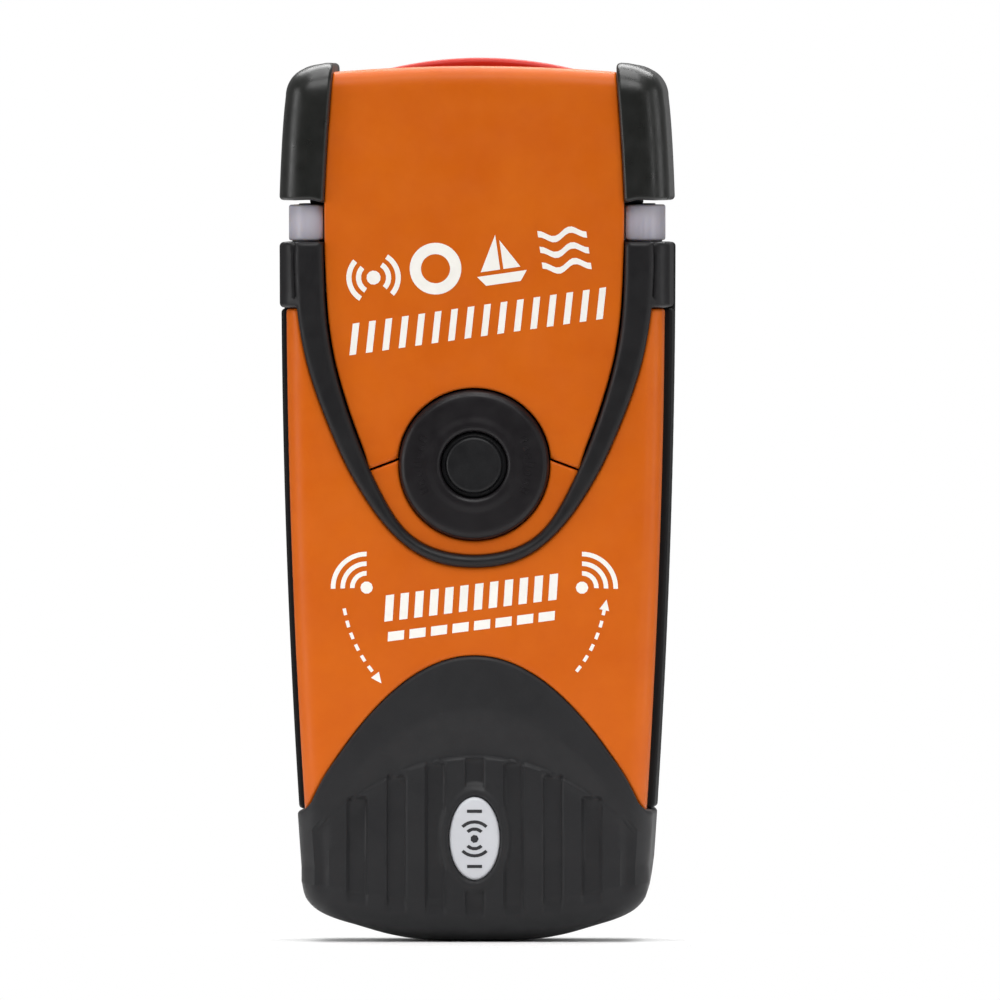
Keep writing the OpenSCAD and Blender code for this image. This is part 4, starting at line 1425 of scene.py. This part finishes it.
# new name, CAD node, bevel, material, body, slot
REFINED = (
    ("inner_key_panel", "key_panel", 0.15, "black_shell", "case", "black_shell"),
    ("arming_key", "on_key", 0.45, "red", "key", "key_red"),
    ("status_pipe", "status_light_pipe", 0.12, "pipe", "case", "clear_lens"),
    ("head_housing", "head_core", 0.5, "black_shell", "case", "black_shell"),
    ("strobe_dome", "strobe_lens", 0.15, "lens", "case", "clear_lens"),
    ("lower_blade_section", "antenna_lower_blade", 0.12, "steel", "lower_blade", "stainless"),
    ("upper_blade_section", "antenna_upper_blade", 0.12, "steel", "upper_blade", "stainless"),
    ("antenna_channel", "antenna_guide", 0.2, "guide", "case", "guide_plastic"),
    ("back_plate_label", "rear_label", 0.08, "label", "case", "label_plate"),
    ("back_screws", "shell_screws", 0.15, "screw", "case", "stainless"),
    ("circuit_main", "main_board", 0.08, "pcb", "case", "circuit_board"),
    ("circuit_head", "head_board", 0.08, "pcb", "case", "circuit_board"),
    ("shield_can", "rf_shield", 0.2, "tin", "case", "tin_can"),
    ("patch_antenna", "gnss_antenna", 0.15, "ceramic", "case", "ceramic_patch"),
    ("cell_left", "battery_cell_left", 0.4, "cell", "case", "cell_blue"),
    ("cell_right", "battery_cell_right", 0.4, "cell", "case", "cell_blue"),
    ("cell_tray", "battery_tray", 0.25, "guide", "case", "guide_plastic"),
    ("switch_test", "test_switch", 0.15, "part", "case", "switch_black"),
    ("switch_on", "on_switch", 0.15, "part", "case", "switch_black"))
for name, node, bevel, mat, body, slot in REFINED:
    finish_piece(refine(name, node, bevel), mat, body, slot)

# CAD nodes kept as they are, with their materials
REPAINTED = (
    ("shell_gasket", "seal"), ("button_seal", "seal"), ("strobe_led", "led"),
    ("status_led", "led"), ("antenna_feed", "brass"), ("board_screws", "screw"),
    ("head_flex", "flex"), ("battery_leads", "lead"), ("battery_top_strap", "tin"),
    ("battery_base_contact", "tin"))
for node, mat in REPAINTED:
    paint(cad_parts[node], mat)


# ---------------------------------------------------------------- stage (metres)

def floor_material():
    """Pale paper that fades to clear with distance from the middle."""
    mat = material("studio_floor_paper", (0.92, 0.92, 0.92), rough=0.9, grain=2.0, bump=0.02,
                   vary=0.005, rough_vary=0.03, blotch=60, specular=0.05)
    tree = mat.node_tree
    coord = add_node(tree, "TexCoord")
    length = add_node(tree, "VectorMath", {0: coord.outputs["Object"]}, operation="LENGTH")

    def fade(start, end):
        return add_node(tree, "MapRange", {
            "From Min": start, "From Max": end, "Value": length.outputs["Value"]},
            interpolation_type="SMOOTHSTEP").outputs["Result"]
    wide = fade(0.04, 0.32)
    # the camera sees a smaller soft-edged patch, and nothing from below
    near = fade(0.004, 0.052)
    hidden = add_node(tree, "Math", {
        0: near, 1: add_node(tree, "NewGeometry").outputs["Backfacing"]}, operation="MAXIMUM")
    clear_part = add_node(tree, "Mix", {
        "Factor": add_node(tree, "LightPath").outputs["Is Camera Ray"],
        "A": wide, "B": hidden.outputs["Value"]})
    mix = add_node(tree, "MixShader", {
        "Fac": clear_part.outputs["Result"],
        1: tree.nodes["Principled BSDF"].outputs["BSDF"],
        2: add_node(tree, "BsdfTransparent").outputs["BSDF"]})
    set_inputs(tree, tree.nodes["Material Output"], {"Surface": mix.outputs["Shader"]})
    return mat


def build_floor():
    """Flat disc made of rings of points round a middle one."""
    count, radii = 96, (0.05, 0.15, 0.3, 0.45, 0.7)
    verts, faces = [(0, 0, 0)], []
    for radius in radii:
        verts += [(radius * cos(2 * pi * i / count), radius * sin(2 * pi * i / count), 0)
                  for i in range(count)]
    for i in range(count):
        j = (i + 1) % count
        faces.append((0, 1 + i, 1 + j))
        for k in range(len(radii) - 1):
            near, far = 1 + k * count, 1 + (k + 1) * count
            faces.append((near + i, far + i, far + j, near + j))
    mesh = bpy.data.meshes.new("floor")
    mesh.from_pydata(verts, [], faces)
    floor = bpy.data.objects.new("studio_floor", mesh)
    bpy.context.scene.collection.objects.link(floor)
    mesh.materials.append(floor_material())


build_floor()

scene = bpy.context.scene
scene.view_settings.view_transform = "Standard"
scene.view_settings.look = "None"
scene.view_settings.exposure = 0.0
scene.view_settings.gamma = 1.0


def build_world():
    """Full white to the camera, dim white light on the object."""
    world = bpy.data.worlds.new("studio")
    scene.world = world
    world.use_nodes = True
    tree = world.node_tree
    white = (1, 1, 1, 1)
    ambient = tree.nodes["Background"]
    set_inputs(tree, ambient, {"Color": white, "Strength": 0.14})
    backdrop = add_node(tree, "Background", {"Color": white, "Strength": 1.0})
    pick = add_node(tree, "MixShader", {
        "Fac": add_node(tree, "LightPath").outputs["Is Camera Ray"],
        1: ambient.outputs[0], 2: backdrop.outputs[0]})
    set_inputs(tree, tree.nodes["World Output"], {"Surface": pick.outputs[0]})


build_world()


def area_light(name, place, size, power, target=(0, 0, 0.06)):
    """Rectangular light of (width, height) aimed at the target; power is in watts."""
    light = bpy.data.lights.new(name, "AREA")
    light.shape = "RECTANGLE"
    light.size, light.size_y = size
    light.energy = power
    lamp = bpy.data.objects.new(name, light)
    scene.collection.objects.link(lamp)
    lamp.location = place
    aim = Vector(target) - Vector(place)
    lamp.rotation_euler = aim.to_track_quat("-Z", "Y").to_euler()
    lamp.visible_camera = False


area_light("key_top", place=(0.0, -0.72, 0.88), size=(0.9, 0.5), power=6.8)
area_light("strip_left", place=(-0.77, -0.21, 0.12), size=(0.16, 0.7), power=1.85)
area_light("strip_right", place=(0.8, -0.02, 0.12), size=(0.3, 0.7), power=1.3)
area_light("edge_left", place=(-0.72, -0.42, 0.12), size=(0.07, 0.6), power=0.4)
area_light("edge_right", place=(0.66, -0.52, 0.12), size=(0.07, 0.6), power=0.68)
area_light("back_top", place=(0.0, 0.7, 0.8), size=(0.9, 0.4), power=7.5, target=(0, 0, 0.05))
area_light("overhead", place=(0.0, 0.05, 1.1), size=(0.8, 0.8), power=9.0,
           target=(0, 0.05, 0.0))


def build_camera():
    """Long lens from far back, a little right of the front and just above level."""
    view_width = 0.1197     # at the front of the beacon
    view_middle = Vector((0.00310, -0.016, 0.0530))
    azimuth, elevation = radians(1.5), radians(0.5)
    lens = bpy.data.cameras.new("camera")
    lens.lens = 1500
    lens.sensor_width = 36
    lens.clip_start = 0.01
    camera = bpy.data.objects.new("camera", lens)
    scene.collection.objects.link(camera)
    toward = Vector((sin(azimuth) * cos(elevation), -cos(azimuth) * cos(elevation),
                     sin(elevation)))
    camera.location = view_middle + toward * (view_width * lens.lens / lens.sensor_width)
    camera.rotation_euler = (-toward).to_track_quat("-Z", "Y").to_euler()
    scene.camera = camera


build_camera()
